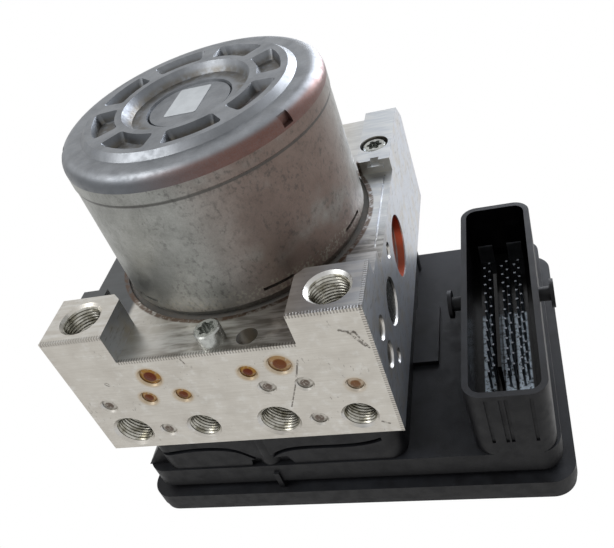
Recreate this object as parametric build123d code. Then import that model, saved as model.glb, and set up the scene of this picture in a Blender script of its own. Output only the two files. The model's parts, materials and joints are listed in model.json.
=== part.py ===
from build123d import *
import math
import os

# Anti-lock brake module: a drilled aluminium valve block, a pump motor standing on it,
# and a plastic control unit under it with a tall connector shroud at the right.
# Sizes are in millimetres. While it is modelled, x runs from the block's left face,
# y from its front face and z from the flat underside of the control unit.
# All pieces are then shifted so that the origin is the middle of the underside.

# Valve block
BLOCK_WIDTH = 90.0
BLOCK_DEPTH = 109.0
BLOCK_HEIGHT = 46.0          # underside to the tops of the two port bosses
MOTOR_FACE_DROP = 9.6        # boss tops down to the face that carries the motor
BOSS_WIDTH = 19.3
BOSS_DEPTH = 17.3
BOSS_CUT = 2.5               # diagonal cut on the inner rear corner of a boss
SHELF_DROP = 5.0             # boss tops down to the shelves and the rear pads
SHELF_WIDTH = 10.6
SHELF_END = 26.5
PAD_WIDTH = 10.5
PAD_GAP = 1.7                # from the can to the nearest corner of a rear pad
PAD_BACK = 103.5
PAD_NOTCH = 2.6              # small notch in the front edge of the right pad
PAD_NOTCH_INSET = 3.5
PAD_NOTCH_DEPTH = 1.6
PAD_LIP = 1.2                # lip under the notch
RAIL_INSET = 2.0             # fine groove along the right edge of the motor face
RAIL_WIDTH = 0.6
RAIL_FRONT = 34.0
RAIL_BACK = 70.0
REAR_CUT_DROP = 11.3         # boss tops down to where the rear slope meets the back
EDGE_BREAK = 0.4             # small bevel on the milled edges

# Threaded ports, given by the tapped radius and the radius of the mouth
LARGE_TAP = 5.5
LARGE_MOUTH = 6.3
SMALL_TAP = 4.5
SMALL_MOUTH = 5.2
PORT_DEPTH = 14.0
PORT_CONE = 2.6              # drill point under the tapped length
PASSAGE = 1.6                # drilled passage below a port
PASSAGE_DEPTH = 3.0
PORT_SEAM = 4.0              # turn of a bore's seam, off the block's main planes
WHEEL_LEFT = 10.2            # first and last wheel port, from the left and the right face
WHEEL_RIGHT = 10.5
WHEEL_DROP = 38.6            # boss tops down to the row of wheel ports
MASTER_INSET = 9.5           # master ports, from the side face
MASTER_BACK = 8.8

# Pressed plugs in the front face, each as offset from the middle and drop from the bosses
SMALL_PLUG = 2.2
SMALL_PLUGS = ((-23.1, 24.8), (-12.3, 24.7), (12.7, 24.6), (23.3, 24.4), (9.4, 18.3))
LARGE_PLUG = 3.0
LARGE_PLUGS = ((-18.9, 16.6), (18.9, 16.5))
LOW_PLUG_DROP = 38.8         # plugs midway between two wheel ports
LEFT_PLUG = (7.9, 26.8)      # outer plugs, from the left and the right face
RIGHT_PLUG = (8.6, 26.3)
PLUG_LENGTH = 2.8
PLUG_SINK = 0.7
PLUG_DOME = 0.5
PLUG_SHOULDER = 0.6          # where the dome turns down, as a share of the plug's radius
PLUG_BEVEL = 0.5

# Plugs and dimples of the side faces, as distance from the front and drop from the bosses
SIDE_PLUGS = ((38.2, 14.5, 1.9), (9.5, 16.4, 2.9), (9.4, 26.2, 3.2), (16.5, 34.3, 1.7))

# Pump bore, across the block at the height of the motor's eccentric
PUMP_DROP = 24.2
PUMP_RADIUS = 7.0
PUMP_MOUTH = 9.5
PUMP_MOUTH_DEPTH = 7.0
PUMP_CAP_SINK = 2.8
PUMP_CAP_NECK = 4.0
PISTON_RADIUS = 4.0
PUMP_SPRING_LENGTH = 6.95
CHAMBER_RADIUS = 14.0
CHAMBER_BELOW = 8.0          # pump axis down to the chamber floor
SLEEVE_LIP = 0.6

# Low-pressure accumulators, one in each side face
STORE_BACK = 26.3
STORE_DROP = 23.0
STORE_RADIUS = 6.35
STORE_DEPTH = 24.0
STORE_CAP = 3.0
STORE_CAP_SINK = 0.5
STORE_PISTON = 6.0
STORE_END_GAP = 0.5

# Springs, turned from square-section wire
SPRING_WIRE = 0.9
SPRING_TURNS = 5

# Motor
MOTOR_BACK = 52.2            # motor axis, from the front face
CAN_RADIUS = 38.0
CAN_WALL = 2.0
CAN_FOOT = 2.4               # rounding where the can meets its foot
CAN_HEIGHT = 38.7            # from its foot to the seam under the cap
GROOVE_MARGIN = 1.2          # groove of the seal beyond the can
GROOVE_WIDTH = 5.0
GROOVE_DEPTH = 1.5
SEAL_HEIGHT = 0.8
LANCE_HEIGHT = 4.4           # slots pressed through the can, above its foot
LANCE_LENGTH = 9.0
LANCE_WIDTH = 0.9
LANCE_ANGLES = (-124.0, -60.0, -15.0)
RIM_HEIGHT = 3.7             # band of the can rolled under the cap
RIM_STEP = 0.25

# End cap of the motor, a pressed sheet with eight pockets
CAP_HEIGHT = 6.0             # from its lower edge to the highest ring
CAP_RING_DROP = 1.6
CAP_SHOULDER = 3.7
CAP_STEP_RADIUS = 31.3
CAP_STEP_TOP = 29.4
CAP_DISH_TOP = 18.6
CAP_DISH_RADIUS = 16.8
CAP_DISH_DROP = 2.9
CAP_DISC_RADIUS = 11.8
CAP_DISC_DROP = 3.3
CAP_GROOVE = 0.8
CAP_UNDER = 4.6              # highest ring down to the flat underside
POCKET_COUNT = 8
POCKET_INNER = 20.6
POCKET_OUTER = 27.4
POCKET_DEPTH = 2.6
POCKET_INSET = 0.9           # how much a pocket narrows down to its floor
SPOKE_WIDTH = 4.4
SPOKE_TURN = -2.0
NOTCH_SIZE = 3.2
NOTCH_ANGLES = (-32.5, -159.0)
LABEL_WIDTH = 9.8
LABEL_LENGTH = 15.4
LABEL_THICK = 0.12
LABEL_CORNER = 0.8
LABEL_TURN = -3.0
LABEL_SHIFT = (-1.0, 1.8)    # from the motor axis

# Inside the motor
SHAFT_RADIUS = 4.0
PILOT_RADIUS = 3.0
BUSH_WALL = 2.0
PILOT_DEPTH = 4.0
THROW = 1.0                  # offset of the eccentric
ECCENTRIC_RADIUS = 6.0
CAM_RING_RADIUS = 9.0
CAM_RING_HEIGHT = 9.0
BEARING_RADIUS = 8.0
BEARING_HEIGHT = 4.6
BEARING_CUP = 1.5
PLATE_THICK = 3.0
BRUSH_WIDTH = 5.0
BRUSH_LENGTH = 9.0
BRUSH_HEIGHT = 5.0
COMMUTATOR_RADIUS = 11.0
COMMUTATOR_HEIGHT = 8.0
COMMUTATOR_BARS = 12
CORE_LIFT = 17.0             # motor face up to the laminated core
CORE_HEIGHT = 18.0
MAGNET_THICK = 6.0
MAGNET_ARC = 74.0
MAGNET_COUNT = 4
MAGNET_OVERLAP = 3.0         # magnets beyond each end of the core
MAGNET_GAP = 0.6
SLOT_COUNT = 12
SLOT_WIDTH = 2.4
SLOT_DEPTH = 12.0
WINDING_HEIGHT = 3.4

# Solenoid valves, two rows of four above their coils
VALVE_ROWS = (24.0, 42.4)
VALVE_LEFT = 22.6            # first and last column, from the left and the right face
VALVE_RIGHT = 14.2
VALVE_RADIUS = 5.2
VALVE_DEPTH = 10.5
DOME_RADIUS = 3.4
DOME_LENGTH = 11.6
ARMATURE_RADIUS = 2.75
ARMATURE_LENGTH = 9.0
ARMATURE_TRAVEL = 0.3
DOME_END = 1.0
COIL_GAP = 1.2               # between neighbouring coils
COIL_HEIGHT = 11.0

# Control unit
COVER_DEPTH = 94.8
COVER_INSET = 2.3            # from the block's left face to the cover's left edge
COVER_LIP = 2.6              # cover beyond the block's front face
COVER_RIM = 3.9              # cover beyond the right side of the shroud
COVER_CORNER = 7.0
COVER_THICK = 2.2
SEAM = 0.3
FLANGE_TOP = 7.3
WALL_TOP = 17.3
WALL_INSET = 2.4             # flange's left edge to the wall
WALL_RIGHT_INSET = 2.9
WALL_CORNER = 6.0
SHELL = 2.0
WAIST_HEIGHT = 2.4           # groove round the wall, just above the flange
WAIST_DEPTH = 1.2
COIL_BOX_LEFT = 11.4         # from the block's left face
COIL_BOX_INSET = 2.0         # from the block's right face
SKIRT_HEIGHT = 8.0           # slope from the coil box out to the wall, on the left
SKIRT_FRONT = 3.0
COIL_BOX_TOP = 30.1
COIL_BOX_FRONT = 0.4         # from the block's front face
COIL_BOX_BACK = 89.6
COIL_BOX_CORNER = 5.0
DECK = 1.5                   # floor between the coils and the circuit board
DECK_TOP = 15.5
GASKET = 0.6
BOARD_THICK = 1.6
BOARD_LEVEL = 5.0
BOARD_GAP = 1.0
POST_RADIUS = 3.0
POST_INSET = 2.0             # from the inside of the wall
STEP_WIDTH = 8.0             # raised step beside the coil box
STEP_HEIGHT = 1.6
STEP_FRONT = 34.5
STEP_BACK = 58.9

# Front of the coil box: a wavy groove over two pillows, and a window between them,
# as offsets from the middle of the block and levels above the wall's top
WAVE = ((-33.0, 8.2), (-25.0, 9.3), (-12.0, 9.5), (-5.5, 7.2), (0.0, 3.4), (5.5, 6.1), (13.0, 8.0),
        (31.0, 8.2), (37.5, 9.9))
WAVE_HEIGHT = 1.5
WAVE_DEPTH = 1.2
WINDOW = ((-4.2, 0.2), (9.6, 0.2), (8.0, 3.9), (0.5, 3.0), (-3.4, 3.0))
RIB_OFFSET = 2.4             # upright rib on the wall, from the middle of the block
RIB_WIDTH = 1.6
RIB_HEIGHT = 7.0

# Connector shroud
SHROUD_GAP = 16.7            # from the block's right face
SHROUD_WIDTH = 21.5
SHROUD_DEPTH = 80.5
SHROUD_TOP = 41.0
SHROUD_FLOOR = 21.1
SHROUD_WALL = 1.7
SHROUD_CORNER = 5.0
SHROUD_GROOVES = (5.6, 9.2, 10.6, 16.8)
GROOVE_CUT = 0.5
GROOVE_LINE = 0.9
GROOVE_FOOT = 5.0            # grooves, from the wall's top and from the rim
GROOVE_HEAD = 1.5
PEG_RADIUS = 2.1
PEG_HEAD_RADIUS = 4.2
PEG_REACH = 4.2
PEG_HEAD = 1.1
PEG_DROP = 4.6
CARRIER_WIDTH = 14.2
CARRIER_FRONT = 16.0
CARRIER_BACK = 77.0
CARRIER_RISE = 1.8
CARRIER_CORNER = 1.0
FIN_THICK = 1.0
FIN_ROOT = 0.5               # how far the fin reaches into its carrier
FIN_HEIGHT = 8.0
FIN_FRONT = 19.0
FIN_BACK = 58.0
FIN_PLACE = 8.9              # from the shroud's left face
PIN_COLUMNS = (5.7, 7.2, 11.1, 12.6, 14.9, 16.2)
PIN_SIZE = 0.64
PIN_HEIGHT = 7.0
PIN_PITCH = 4.0
PIN_FIRST = 18.6
PIN_COUNT = 12
BLADE_WIDTH = 4.6
BLADE_THICK = 0.8
BLADE_BACK = 74.0

# Screws, and the open hole beside the front one
SCREW_RADIUS = 2.0
SCREW_HOLE = 2.3
HEAD_RADIUS = 3.7
HEAD_HEIGHT = 4.6
HEAD_SOCKET = 1.9
SOCKET_DEPTH = 2.4
SOCKET_LOBES = 6
SINK_RADIUS = 4.6
SINK_DEPTH = 5.0
FRONT_SCREW_BACK = 4.6
HOLE_SPACING = 9.7           # front screw to the open hole over the third port
REAR_SCREW_INSET = 5.7
REAR_SCREW_BACK = 10.1       # behind the front edge of a rear pad
SCREW_REACH = 9.0
LUG_RADIUS = 4.4
LUG_WEB = 3.0                # web from a lug to the coil box it stands off
OPEN_HOLE_BACK = 4.7
OPEN_HOLE_RADIUS = 3.0
OPEN_HOLE_DEPTH = 6.0

# Leads from the circuit board up to the motor
FEED_HOLE = 4.0
FEED_INSET = 4.2             # from the can's inside
FEED_SPREAD = 3.0
FEED_RADIUS = 0.8

# Clearances
RUN = 0.05                   # running fit of a piston, shaft or armature
SEAT = 0.02                  # a fixed piece in its seat
AIR = 0.3                    # pieces that pass without touching

# Levels and places that follow from the sizes above
BLOCK_BOTTOM = COIL_BOX_TOP
BOSS_TOP = BLOCK_BOTTOM + BLOCK_HEIGHT
MOTOR_FACE = BOSS_TOP - MOTOR_FACE_DROP
SHELF_TOP = BOSS_TOP - SHELF_DROP
GROOVE_FLOOR = MOTOR_FACE - GROOVE_DEPTH
CAN_FLOOR = GROOVE_FLOOR + SEAL_HEIGHT
CAN_TOP = CAN_FLOOR + CAN_HEIGHT
RIM_TOP = CAN_TOP + RIM_HEIGHT
CAP_TOP = RIM_TOP + CAP_HEIGHT
CAP_CEILING = CAP_TOP - CAP_UNDER
PUMP_LEVEL = BOSS_TOP - PUMP_DROP
MOTOR_X = BLOCK_WIDTH / 2
CAN_INSIDE = CAN_RADIUS - CAN_WALL
GROOVE_RADIUS = CAN_RADIUS + GROOVE_MARGIN
FEED_BACK = MOTOR_BACK + CAN_INSIDE - FEED_INSET
PAD_REACH = (CAN_RADIUS + PAD_GAP) ** 2 - (MOTOR_X - PAD_WIDTH) ** 2
PAD_FRONT = MOTOR_BACK + math.sqrt(max(PAD_REACH, 0))
CORE_BOTTOM = MOTOR_FACE + CORE_LIFT
CORE_TOP = CORE_BOTTOM + CORE_HEIGHT
CORE_RADIUS = CAN_INSIDE - MAGNET_THICK - MAGNET_GAP
WHEEL_PITCH = (BLOCK_WIDTH - WHEEL_LEFT - WHEEL_RIGHT) / 3
WHEEL_COLUMNS = [WHEEL_LEFT + i * WHEEL_PITCH for i in range(4)]
VALVE_PITCH = (BLOCK_WIDTH - VALVE_LEFT - VALVE_RIGHT) / 3
VALVE_COLUMNS = [VALVE_LEFT + i * VALVE_PITCH for i in range(4)]
COIL_RADIUS = (min(VALVE_PITCH, VALVE_ROWS[1] - VALVE_ROWS[0]) - COIL_GAP) / 2
COIL_BOX_RIGHT = BLOCK_WIDTH - COIL_BOX_INSET
OPEN_HOLE = (WHEEL_COLUMNS[2], OPEN_HOLE_BACK)
FRONT_SCREW = (WHEEL_COLUMNS[2] - HOLE_SPACING, FRONT_SCREW_BACK)
SHROUD_LEFT = BLOCK_WIDTH + SHROUD_GAP
COVER_WIDTH = SHROUD_LEFT + SHROUD_WIDTH + COVER_RIM - COVER_INSET
WALL_LEFT = COVER_INSET + WALL_INSET
WALL_RIGHT = COVER_INSET + COVER_WIDTH - WALL_RIGHT_INSET
WALL_BACK = COVER_DEPTH - 2 * COVER_LIP
SHROUD_MIDDLE = SHROUD_LEFT + SHROUD_WIDTH / 2
REAR_SCREWS = tuple(
    (x, PAD_FRONT + REAR_SCREW_BACK) for x in (REAR_SCREW_INSET, BLOCK_WIDTH - REAR_SCREW_INSET)
)
TO_FRAME = Pos(-(COVER_INSET + COVER_WIDTH) / 2, -(BLOCK_DEPTH - COVER_LIP) / 2, 0)
ON_MOTOR = Pos(MOTOR_X, MOTOR_BACK, 0)


def slab(x_low, x_high, y_low, y_high, z_low, z_high):
    """A box given by its corners."""
    size = (x_high - x_low, y_high - y_low, z_high - z_low)
    return Pos(x_low, y_low, z_low) * Box(*size, align=(Align.MIN,) * 3)


def round_slab(x_low, x_high, y_low, y_high, z_low, z_high, corner):
    """A box whose four upright edges are rounded."""
    outline = RectangleRounded(x_high - x_low, y_high - y_low, corner)
    return Pos((x_low + x_high) / 2, (y_low + y_high) / 2, z_low) * extrude(outline, z_high - z_low)


def rod_z(radius, low, high, x=0.0, y=0.0):
    """An upright cylinder."""
    return Pos(x, y, low) * Cylinder(radius, high - low, align=(Align.CENTER, Align.CENTER, Align.MIN))


def rod_y(radius, low, high, x, z):
    """A cylinder along y."""
    return Pos(x, 0, z) * Rot(-90, 0, 0) * rod_z(radius, low, high)


def rod_x(radius, low, high, y, z):
    """A cylinder along x."""
    return Pos(0, y, z) * Rot(0, 90, 0) * rod_z(radius, low, high)


def turned(points):
    """A solid turned about z from (radius, height) points."""
    return revolve(make_face(Plane.XZ * Polyline(*points, close=True)), Axis.Z)


def ring(outer, inner, low, high):
    """An upright tube about z."""
    return rod_z(outer, low, high) - rod_z(inner, low - 1, high + 1)


def mirrored(shape):
    """The same shape on the other side of the block's middle plane."""
    return mirror(shape, Plane.YZ.offset(MOTOR_X))


def prism(points, low, high):
    """An upright prism over an outline in plan."""
    return Pos(0, 0, low) * extrude(make_face(Polyline(*points, close=True)), high - low)


def port_cutter(tap, mouth):
    """A tapped port along +z from its mouth at z = 0, with drill point and passage."""
    bevel = mouth - tap
    end = PORT_DEPTH + PORT_CONE
    return Rot(0, 0, PORT_SEAM) * turned([
        (0, -1), (mouth, -1), (mouth, 0), (tap, bevel), (tap, PORT_DEPTH),
        (PASSAGE, end), (PASSAGE, end + PASSAGE_DEPTH), (0, end + PASSAGE_DEPTH),
    ])


def plug_cutter(radius):
    """The seat of a pressed plug, along +z from the face at z = 0."""
    return turned([
        (0, -1), (radius + PLUG_BEVEL, -1), (radius + PLUG_BEVEL, 0), (radius, PLUG_BEVEL),
        (radius, PLUG_SINK + PLUG_LENGTH), (0, PLUG_SINK + PLUG_LENGTH + radius / 2),
    ])


def pressed_plug(radius):
    """A pressed plug with a domed face, in the same place as its seat."""
    fit = radius - SEAT
    face = Plane.XZ * make_face(
        ThreePointArc((0, PLUG_SINK - PLUG_DOME),
                      (fit * PLUG_SHOULDER, PLUG_SINK - PLUG_DOME * PLUG_SHOULDER), (fit, PLUG_SINK))
        + Polyline((fit, PLUG_SINK), (fit, PLUG_SINK + PLUG_LENGTH), (0, PLUG_SINK + PLUG_LENGTH),
                   (0, PLUG_SINK - PLUG_DOME))
    )
    return revolve(face, Axis.Z)


def on_front(x, drop):
    """Place +z of a tool along +y, at a point of the front face."""
    return Pos(x, 0, BOSS_TOP - drop) * Rot(-90, 0, 0)


def on_right(back, drop):
    """Place +z of a tool along -x, at a point of the right face."""
    return Pos(BLOCK_WIDTH, back, BOSS_TOP - drop) * Rot(0, -90, 0)


def boss_outlines():
    """Plan outlines of the left port boss and the shelf behind it."""
    boss = [
        (0, 0), (BOSS_WIDTH, 0), (BOSS_WIDTH, BOSS_DEPTH - BOSS_CUT),
        (BOSS_WIDTH - BOSS_CUT, BOSS_DEPTH), (0, BOSS_DEPTH),
    ]
    shelf = [
        (0, BOSS_DEPTH), (SHELF_WIDTH, BOSS_DEPTH), (SHELF_WIDTH - BOSS_CUT, BOSS_DEPTH + BOSS_CUT),
        (SHELF_WIDTH - BOSS_CUT, SHELF_END), (0, SHELF_END),
    ]
    return boss, shelf


def small_plug_places():
    """Places of the small plugs as distance from the left face and drop from the bosses."""
    places = [(MOTOR_X + offset, drop) for offset, drop in SMALL_PLUGS]
    places += [(WHEEL_COLUMNS[i] + WHEEL_PITCH / 2, LOW_PLUG_DROP) for i in (0, 2)]
    return places + [LEFT_PLUG, (BLOCK_WIDTH - RIGHT_PLUG[0], RIGHT_PLUG[1])]


def large_plug_places():
    """Places of the two large plugs as distance from the left face and drop from the bosses."""
    return [(MOTOR_X + offset, drop) for offset, drop in LARGE_PLUGS]


def block_blank():
    """The milled outside of the block, before drilling."""
    boss, shelf = boss_outlines()
    blank = slab(0, BLOCK_WIDTH, 0, BLOCK_DEPTH, BLOCK_BOTTOM, MOTOR_FACE)
    for outline, top in ((boss, BOSS_TOP), (shelf, SHELF_TOP)):
        raised = prism(outline, MOTOR_FACE, top)
        blank += [raised, mirrored(raised)]
    pad = slab(0, PAD_WIDTH, PAD_FRONT, BLOCK_DEPTH, MOTOR_FACE, SHELF_TOP)
    blank += [pad, mirrored(pad)]
    slope = [
        (PAD_BACK, SHELF_TOP), (BLOCK_DEPTH, BOSS_TOP - REAR_CUT_DROP),
        (BLOCK_DEPTH + 1, BOSS_TOP - REAR_CUT_DROP), (BLOCK_DEPTH + 1, SHELF_TOP + 1), (PAD_BACK, SHELF_TOP + 1),
    ]
    wedge = extrude(make_face(Plane.YZ * Polyline(*slope, close=True)), BLOCK_WIDTH)
    right = BLOCK_WIDTH - PAD_NOTCH_INSET
    notch = slab(right - PAD_NOTCH, right, PAD_FRONT - 1, PAD_FRONT + PAD_NOTCH_DEPTH,
                 SHELF_TOP - PAD_NOTCH_DEPTH, SHELF_TOP + 1)
    lip = slab(right - PAD_NOTCH - PAD_LIP, right + PAD_LIP, PAD_FRONT - PAD_LIP, PAD_FRONT,
               SHELF_TOP - PAD_NOTCH_DEPTH - PAD_LIP, SHELF_TOP - PAD_NOTCH_DEPTH)
    rail = slab(BLOCK_WIDTH - RAIL_INSET - RAIL_WIDTH, BLOCK_WIDTH - RAIL_INSET, RAIL_FRONT, RAIL_BACK,
                MOTOR_FACE - RAIL_WIDTH, MOTOR_FACE + 1)
    return blank + lip - [wedge, notch, rail]


def side_cutter():
    """Everything that is bored into the right face."""
    tool = on_right(MOTOR_BACK, PUMP_DROP) * turned([
        (0, -1), (PUMP_MOUTH, -1), (PUMP_MOUTH, PUMP_MOUTH_DEPTH), (PUMP_RADIUS, PUMP_MOUTH_DEPTH),
        (PUMP_RADIUS, MOTOR_X), (0, MOTOR_X),
    ])
    tool += on_right(STORE_BACK, STORE_DROP) * turned([
        (0, -1), (STORE_RADIUS + PLUG_BEVEL, -1), (STORE_RADIUS + PLUG_BEVEL, 0), (STORE_RADIUS, PLUG_BEVEL),
        (STORE_RADIUS, STORE_DEPTH), (0, STORE_DEPTH),
    ])
    for back, drop, radius in SIDE_PLUGS:
        tool += on_right(back, drop) * plug_cutter(radius)
    return tool


def screw_cutter():
    """Through holes for the three screws, with the counterbores of the rear pads."""
    tool = rod_z(SCREW_HOLE, BLOCK_BOTTOM - 1, BOSS_TOP, *FRONT_SCREW)
    for x, y in REAR_SCREWS:
        tool += rod_z(SCREW_HOLE, BLOCK_BOTTOM - 1, BOSS_TOP, x, y)
        tool += rod_z(SINK_RADIUS, SHELF_TOP - SINK_DEPTH, BOSS_TOP, x, y)
    return tool


def valve_block():
    """The drilled valve block."""
    block = block_blank()
    cuts = []
    for i, x in enumerate(WHEEL_COLUMNS):
        tap, mouth = (LARGE_TAP, LARGE_MOUTH) if i % 2 == 0 else (SMALL_TAP, SMALL_MOUTH)
        cuts.append(on_front(x, WHEEL_DROP) * port_cutter(tap, mouth))
    for x in VALVE_COLUMNS:
        cuts += [rod_z(VALVE_RADIUS, BLOCK_BOTTOM - 1, BLOCK_BOTTOM + VALVE_DEPTH, x, y) for y in VALVE_ROWS]
    master = Pos(MASTER_INSET, MASTER_BACK, BOSS_TOP) * Rot(180, 0, 0) * port_cutter(LARGE_TAP, LARGE_MOUTH)
    cuts += [master, mirrored(master)]
    cuts += [on_front(x, drop) * plug_cutter(SMALL_PLUG) for x, drop in small_plug_places()]
    cuts += [on_front(x, drop) * plug_cutter(LARGE_PLUG) for x, drop in large_plug_places()]
    bores = side_cutter()
    cuts += [bores, mirrored(bores), screw_cutter()]
    chamber_floor = PUMP_LEVEL - CHAMBER_BELOW
    cuts.append(ON_MOTOR * rod_z(CHAMBER_RADIUS, chamber_floor, MOTOR_FACE + 1))
    cuts.append(ON_MOTOR * rod_z(PILOT_RADIUS + BUSH_WALL, chamber_floor - PILOT_DEPTH, MOTOR_FACE))
    cuts.append(ON_MOTOR * ring(GROOVE_RADIUS, GROOVE_RADIUS - GROOVE_WIDTH, GROOVE_FLOOR, MOTOR_FACE + 1))
    cuts.append(rod_z(OPEN_HOLE_RADIUS, MOTOR_FACE - OPEN_HOLE_DEPTH, BOSS_TOP, *OPEN_HOLE))
    cuts.append(rod_z(FEED_HOLE, BLOCK_BOTTOM - 1, MOTOR_FACE + 1, MOTOR_X, FEED_BACK))
    return block - cuts


def front_plugs(places, radius):
    """Pressed plugs of one size in the front face."""
    return [on_front(x, drop) * pressed_plug(radius) for x, drop in places]


def side_plugs():
    """Pressed plugs of both side faces."""
    right = [on_right(back, drop) * pressed_plug(radius) for back, drop, radius in SIDE_PLUGS]
    return right + [mirrored(plug) for plug in right]


def coil_spring(radius, length):
    """A coil spring along +z from z = 0, of square wire."""
    rise = length - SPRING_WIRE
    path = Helix(rise / SPRING_TURNS, rise, radius)
    section = Plane(path @ 0, x_dir=(1, 0, 0), z_dir=path % 0) * Rectangle(SPRING_WIRE, SPRING_WIRE)
    return Pos(0, 0, SPRING_WIRE / 2) * sweep(section, path, is_frenet=True)


def pump_pieces():
    """Cap, sleeve, piston and spring of the right-hand pump, along -x from the face."""
    place = on_right(MOTOR_BACK, PUMP_DROP)
    reach = MOTOR_X - CAM_RING_RADIUS - THROW - RUN
    neck = PUMP_RADIUS - SEAT
    sleeve_start = PUMP_MOUTH_DEPTH + PUMP_CAP_NECK
    outer = sleeve_start + PUMP_SPRING_LENGTH
    sleeve_end = MOTOR_X - CHAMBER_RADIUS - SLEEVE_LIP
    cap = turned([
        (0, PUMP_CAP_SINK), (PUMP_MOUTH - SEAT - 1, PUMP_CAP_SINK), (PUMP_MOUTH - SEAT, PUMP_CAP_SINK + 1),
        (PUMP_MOUTH - SEAT, PUMP_MOUTH_DEPTH), (neck, PUMP_MOUTH_DEPTH), (neck, sleeve_start), (0, sleeve_start),
    ])
    sleeve = ring(neck, PISTON_RADIUS + RUN, sleeve_start, sleeve_end)
    piston = rod_z(PISTON_RADIUS, outer, reach)
    spring = Pos(0, 0, sleeve_start) * coil_spring(PISTON_RADIUS - SPRING_WIRE, outer - sleeve_start)
    return {"cap": place * cap, "sleeve": place * sleeve, "piston": place * piston, "spring": place * spring}


def store_pieces():
    """Cap, piston and spring of the right-hand accumulator."""
    place = on_right(STORE_BACK, STORE_DROP)
    cap_end = STORE_CAP_SINK + STORE_CAP
    piston_end = STORE_DEPTH - STORE_END_GAP
    piston_start = piston_end - STORE_PISTON
    cap = rod_z(STORE_RADIUS - SEAT, STORE_CAP_SINK, cap_end)
    piston = rod_z(STORE_RADIUS - RUN, piston_start, piston_end)
    spring = Pos(0, 0, cap_end) * coil_spring(STORE_RADIUS - 2 * SPRING_WIRE, piston_start - cap_end)
    return {"cap": place * cap, "piston": place * piston, "spring": place * spring}


def motor_can():
    """The drawn steel can, open below and rolled outward a little under the cap."""
    inside = CAN_INSIDE
    can = turned([
        (inside, CAN_FLOOR), (CAN_RADIUS - CAN_FOOT / 2, CAN_FLOOR), (CAN_RADIUS, CAN_FLOOR + CAN_FOOT),
        (CAN_RADIUS, CAN_TOP), (CAN_RADIUS + RIM_STEP, CAN_TOP + RIM_STEP), (CAN_RADIUS + RIM_STEP, RIM_TOP),
        (inside, RIM_TOP),
    ])
    for angle in LANCE_ANGLES:
        level = CAN_FLOOR + LANCE_HEIGHT
        lance = slab(inside - 1, CAN_RADIUS + 1, -LANCE_LENGTH / 2, LANCE_LENGTH / 2, level, level + LANCE_WIDTH)
        can -= Rot(0, 0, angle) * lance
    return ON_MOTOR * can


def pocket_outline(inset):
    """The outline of one pocket in plan, drawn in from its mouth by an inset."""
    inner = POCKET_INNER + inset
    outer = POCKET_OUTER - inset
    middle = (POCKET_INNER + POCKET_OUTER) / 2
    half = math.pi / POCKET_COUNT - (SPOKE_WIDTH / 2 + inset) / middle
    far = [(outer * math.cos(a), outer * math.sin(a)) for a in (-half, 0, half)]
    near = [(inner * math.cos(a), inner * math.sin(a)) for a in (half, 0, -half)]
    edges = ThreePointArc(*far) + Line(far[2], near[0]) + ThreePointArc(*near) + Line(near[2], far[0])
    outline = make_face(edges)
    return fillet(outline.vertices(), SPOKE_WIDTH / 4)


def cap_pocket():
    """One pocket of the cap, as a tapered tool from above the highest ring down to the pocket's floor."""
    slope = POCKET_INSET / POCKET_DEPTH
    mouth = Pos(0, 0, CAP_TOP + EDGE_BREAK) * pocket_outline(-slope * EDGE_BREAK)
    floor = Pos(0, 0, CAP_TOP - POCKET_DEPTH) * pocket_outline(POCKET_INSET)
    return loft([floor, mouth])


def motor_end_cap():
    """The pressed end cap with its eight pockets, dished middle and bearing cup."""
    ring_level = CAP_TOP - CAP_RING_DROP
    dish = CAP_TOP - CAP_DISH_DROP
    disc = CAP_TOP - CAP_DISC_DROP
    edge = CAN_RADIUS + RIM_STEP
    outline = Polyline((CAN_INSIDE - SEAT, RIM_TOP), (edge, RIM_TOP), (edge, ring_level - CAP_SHOULDER))
    outline += RadiusArc((edge, ring_level - CAP_SHOULDER), (edge - CAP_SHOULDER, ring_level), -CAP_SHOULDER)
    outline += Polyline(
        (edge - CAP_SHOULDER, ring_level), (CAP_STEP_RADIUS, ring_level), (CAP_STEP_TOP, CAP_TOP),
        (CAP_DISH_TOP, CAP_TOP), (CAP_DISH_RADIUS, dish), (CAP_DISC_RADIUS + CAP_GROOVE, dish),
        (CAP_DISC_RADIUS + CAP_GROOVE / 2, disc - CAP_GROOVE), (CAP_DISC_RADIUS, disc), (0, disc),
        (0, CAP_CEILING - CAP_GROOVE), (CAP_DISH_TOP, CAP_CEILING - CAP_GROOVE), (CAP_STEP_TOP, CAP_CEILING),
        (CAN_INSIDE - SEAT, CAP_CEILING), (CAN_INSIDE - SEAT, RIM_TOP),
    )
    cap = revolve(make_face(Plane.XZ * outline), Axis.Z)
    cup_top = CAP_CEILING - CAP_GROOVE
    cap += ring(BEARING_RADIUS + BEARING_CUP, BEARING_RADIUS + SEAT, cup_top - BEARING_HEIGHT, cup_top)
    pocket = cap_pocket()
    step = 360 / POCKET_COUNT
    cap -= [Rot(0, 0, SPOKE_TURN + (i + 0.5) * step) * pocket for i in range(POCKET_COUNT)]
    for angle in NOTCH_ANGLES:
        notch = slab(edge - NOTCH_SIZE / 2, edge + 1, -NOTCH_SIZE / 2, NOTCH_SIZE / 2,
                     ring_level - CAP_SHOULDER, ring_level - CAP_SHOULDER + NOTCH_SIZE)
        cap -= Rot(0, 0, angle) * notch
    return ON_MOTOR * cap


def cap_label():
    """The bare paper label on the middle of the cap."""
    label = RectangleRounded(LABEL_WIDTH, LABEL_LENGTH, LABEL_CORNER)
    place = Pos(*LABEL_SHIFT, CAP_TOP - CAP_DISC_DROP) * Rot(0, 0, LABEL_TURN)
    return ON_MOTOR * place * extrude(label, LABEL_THICK)


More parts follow.
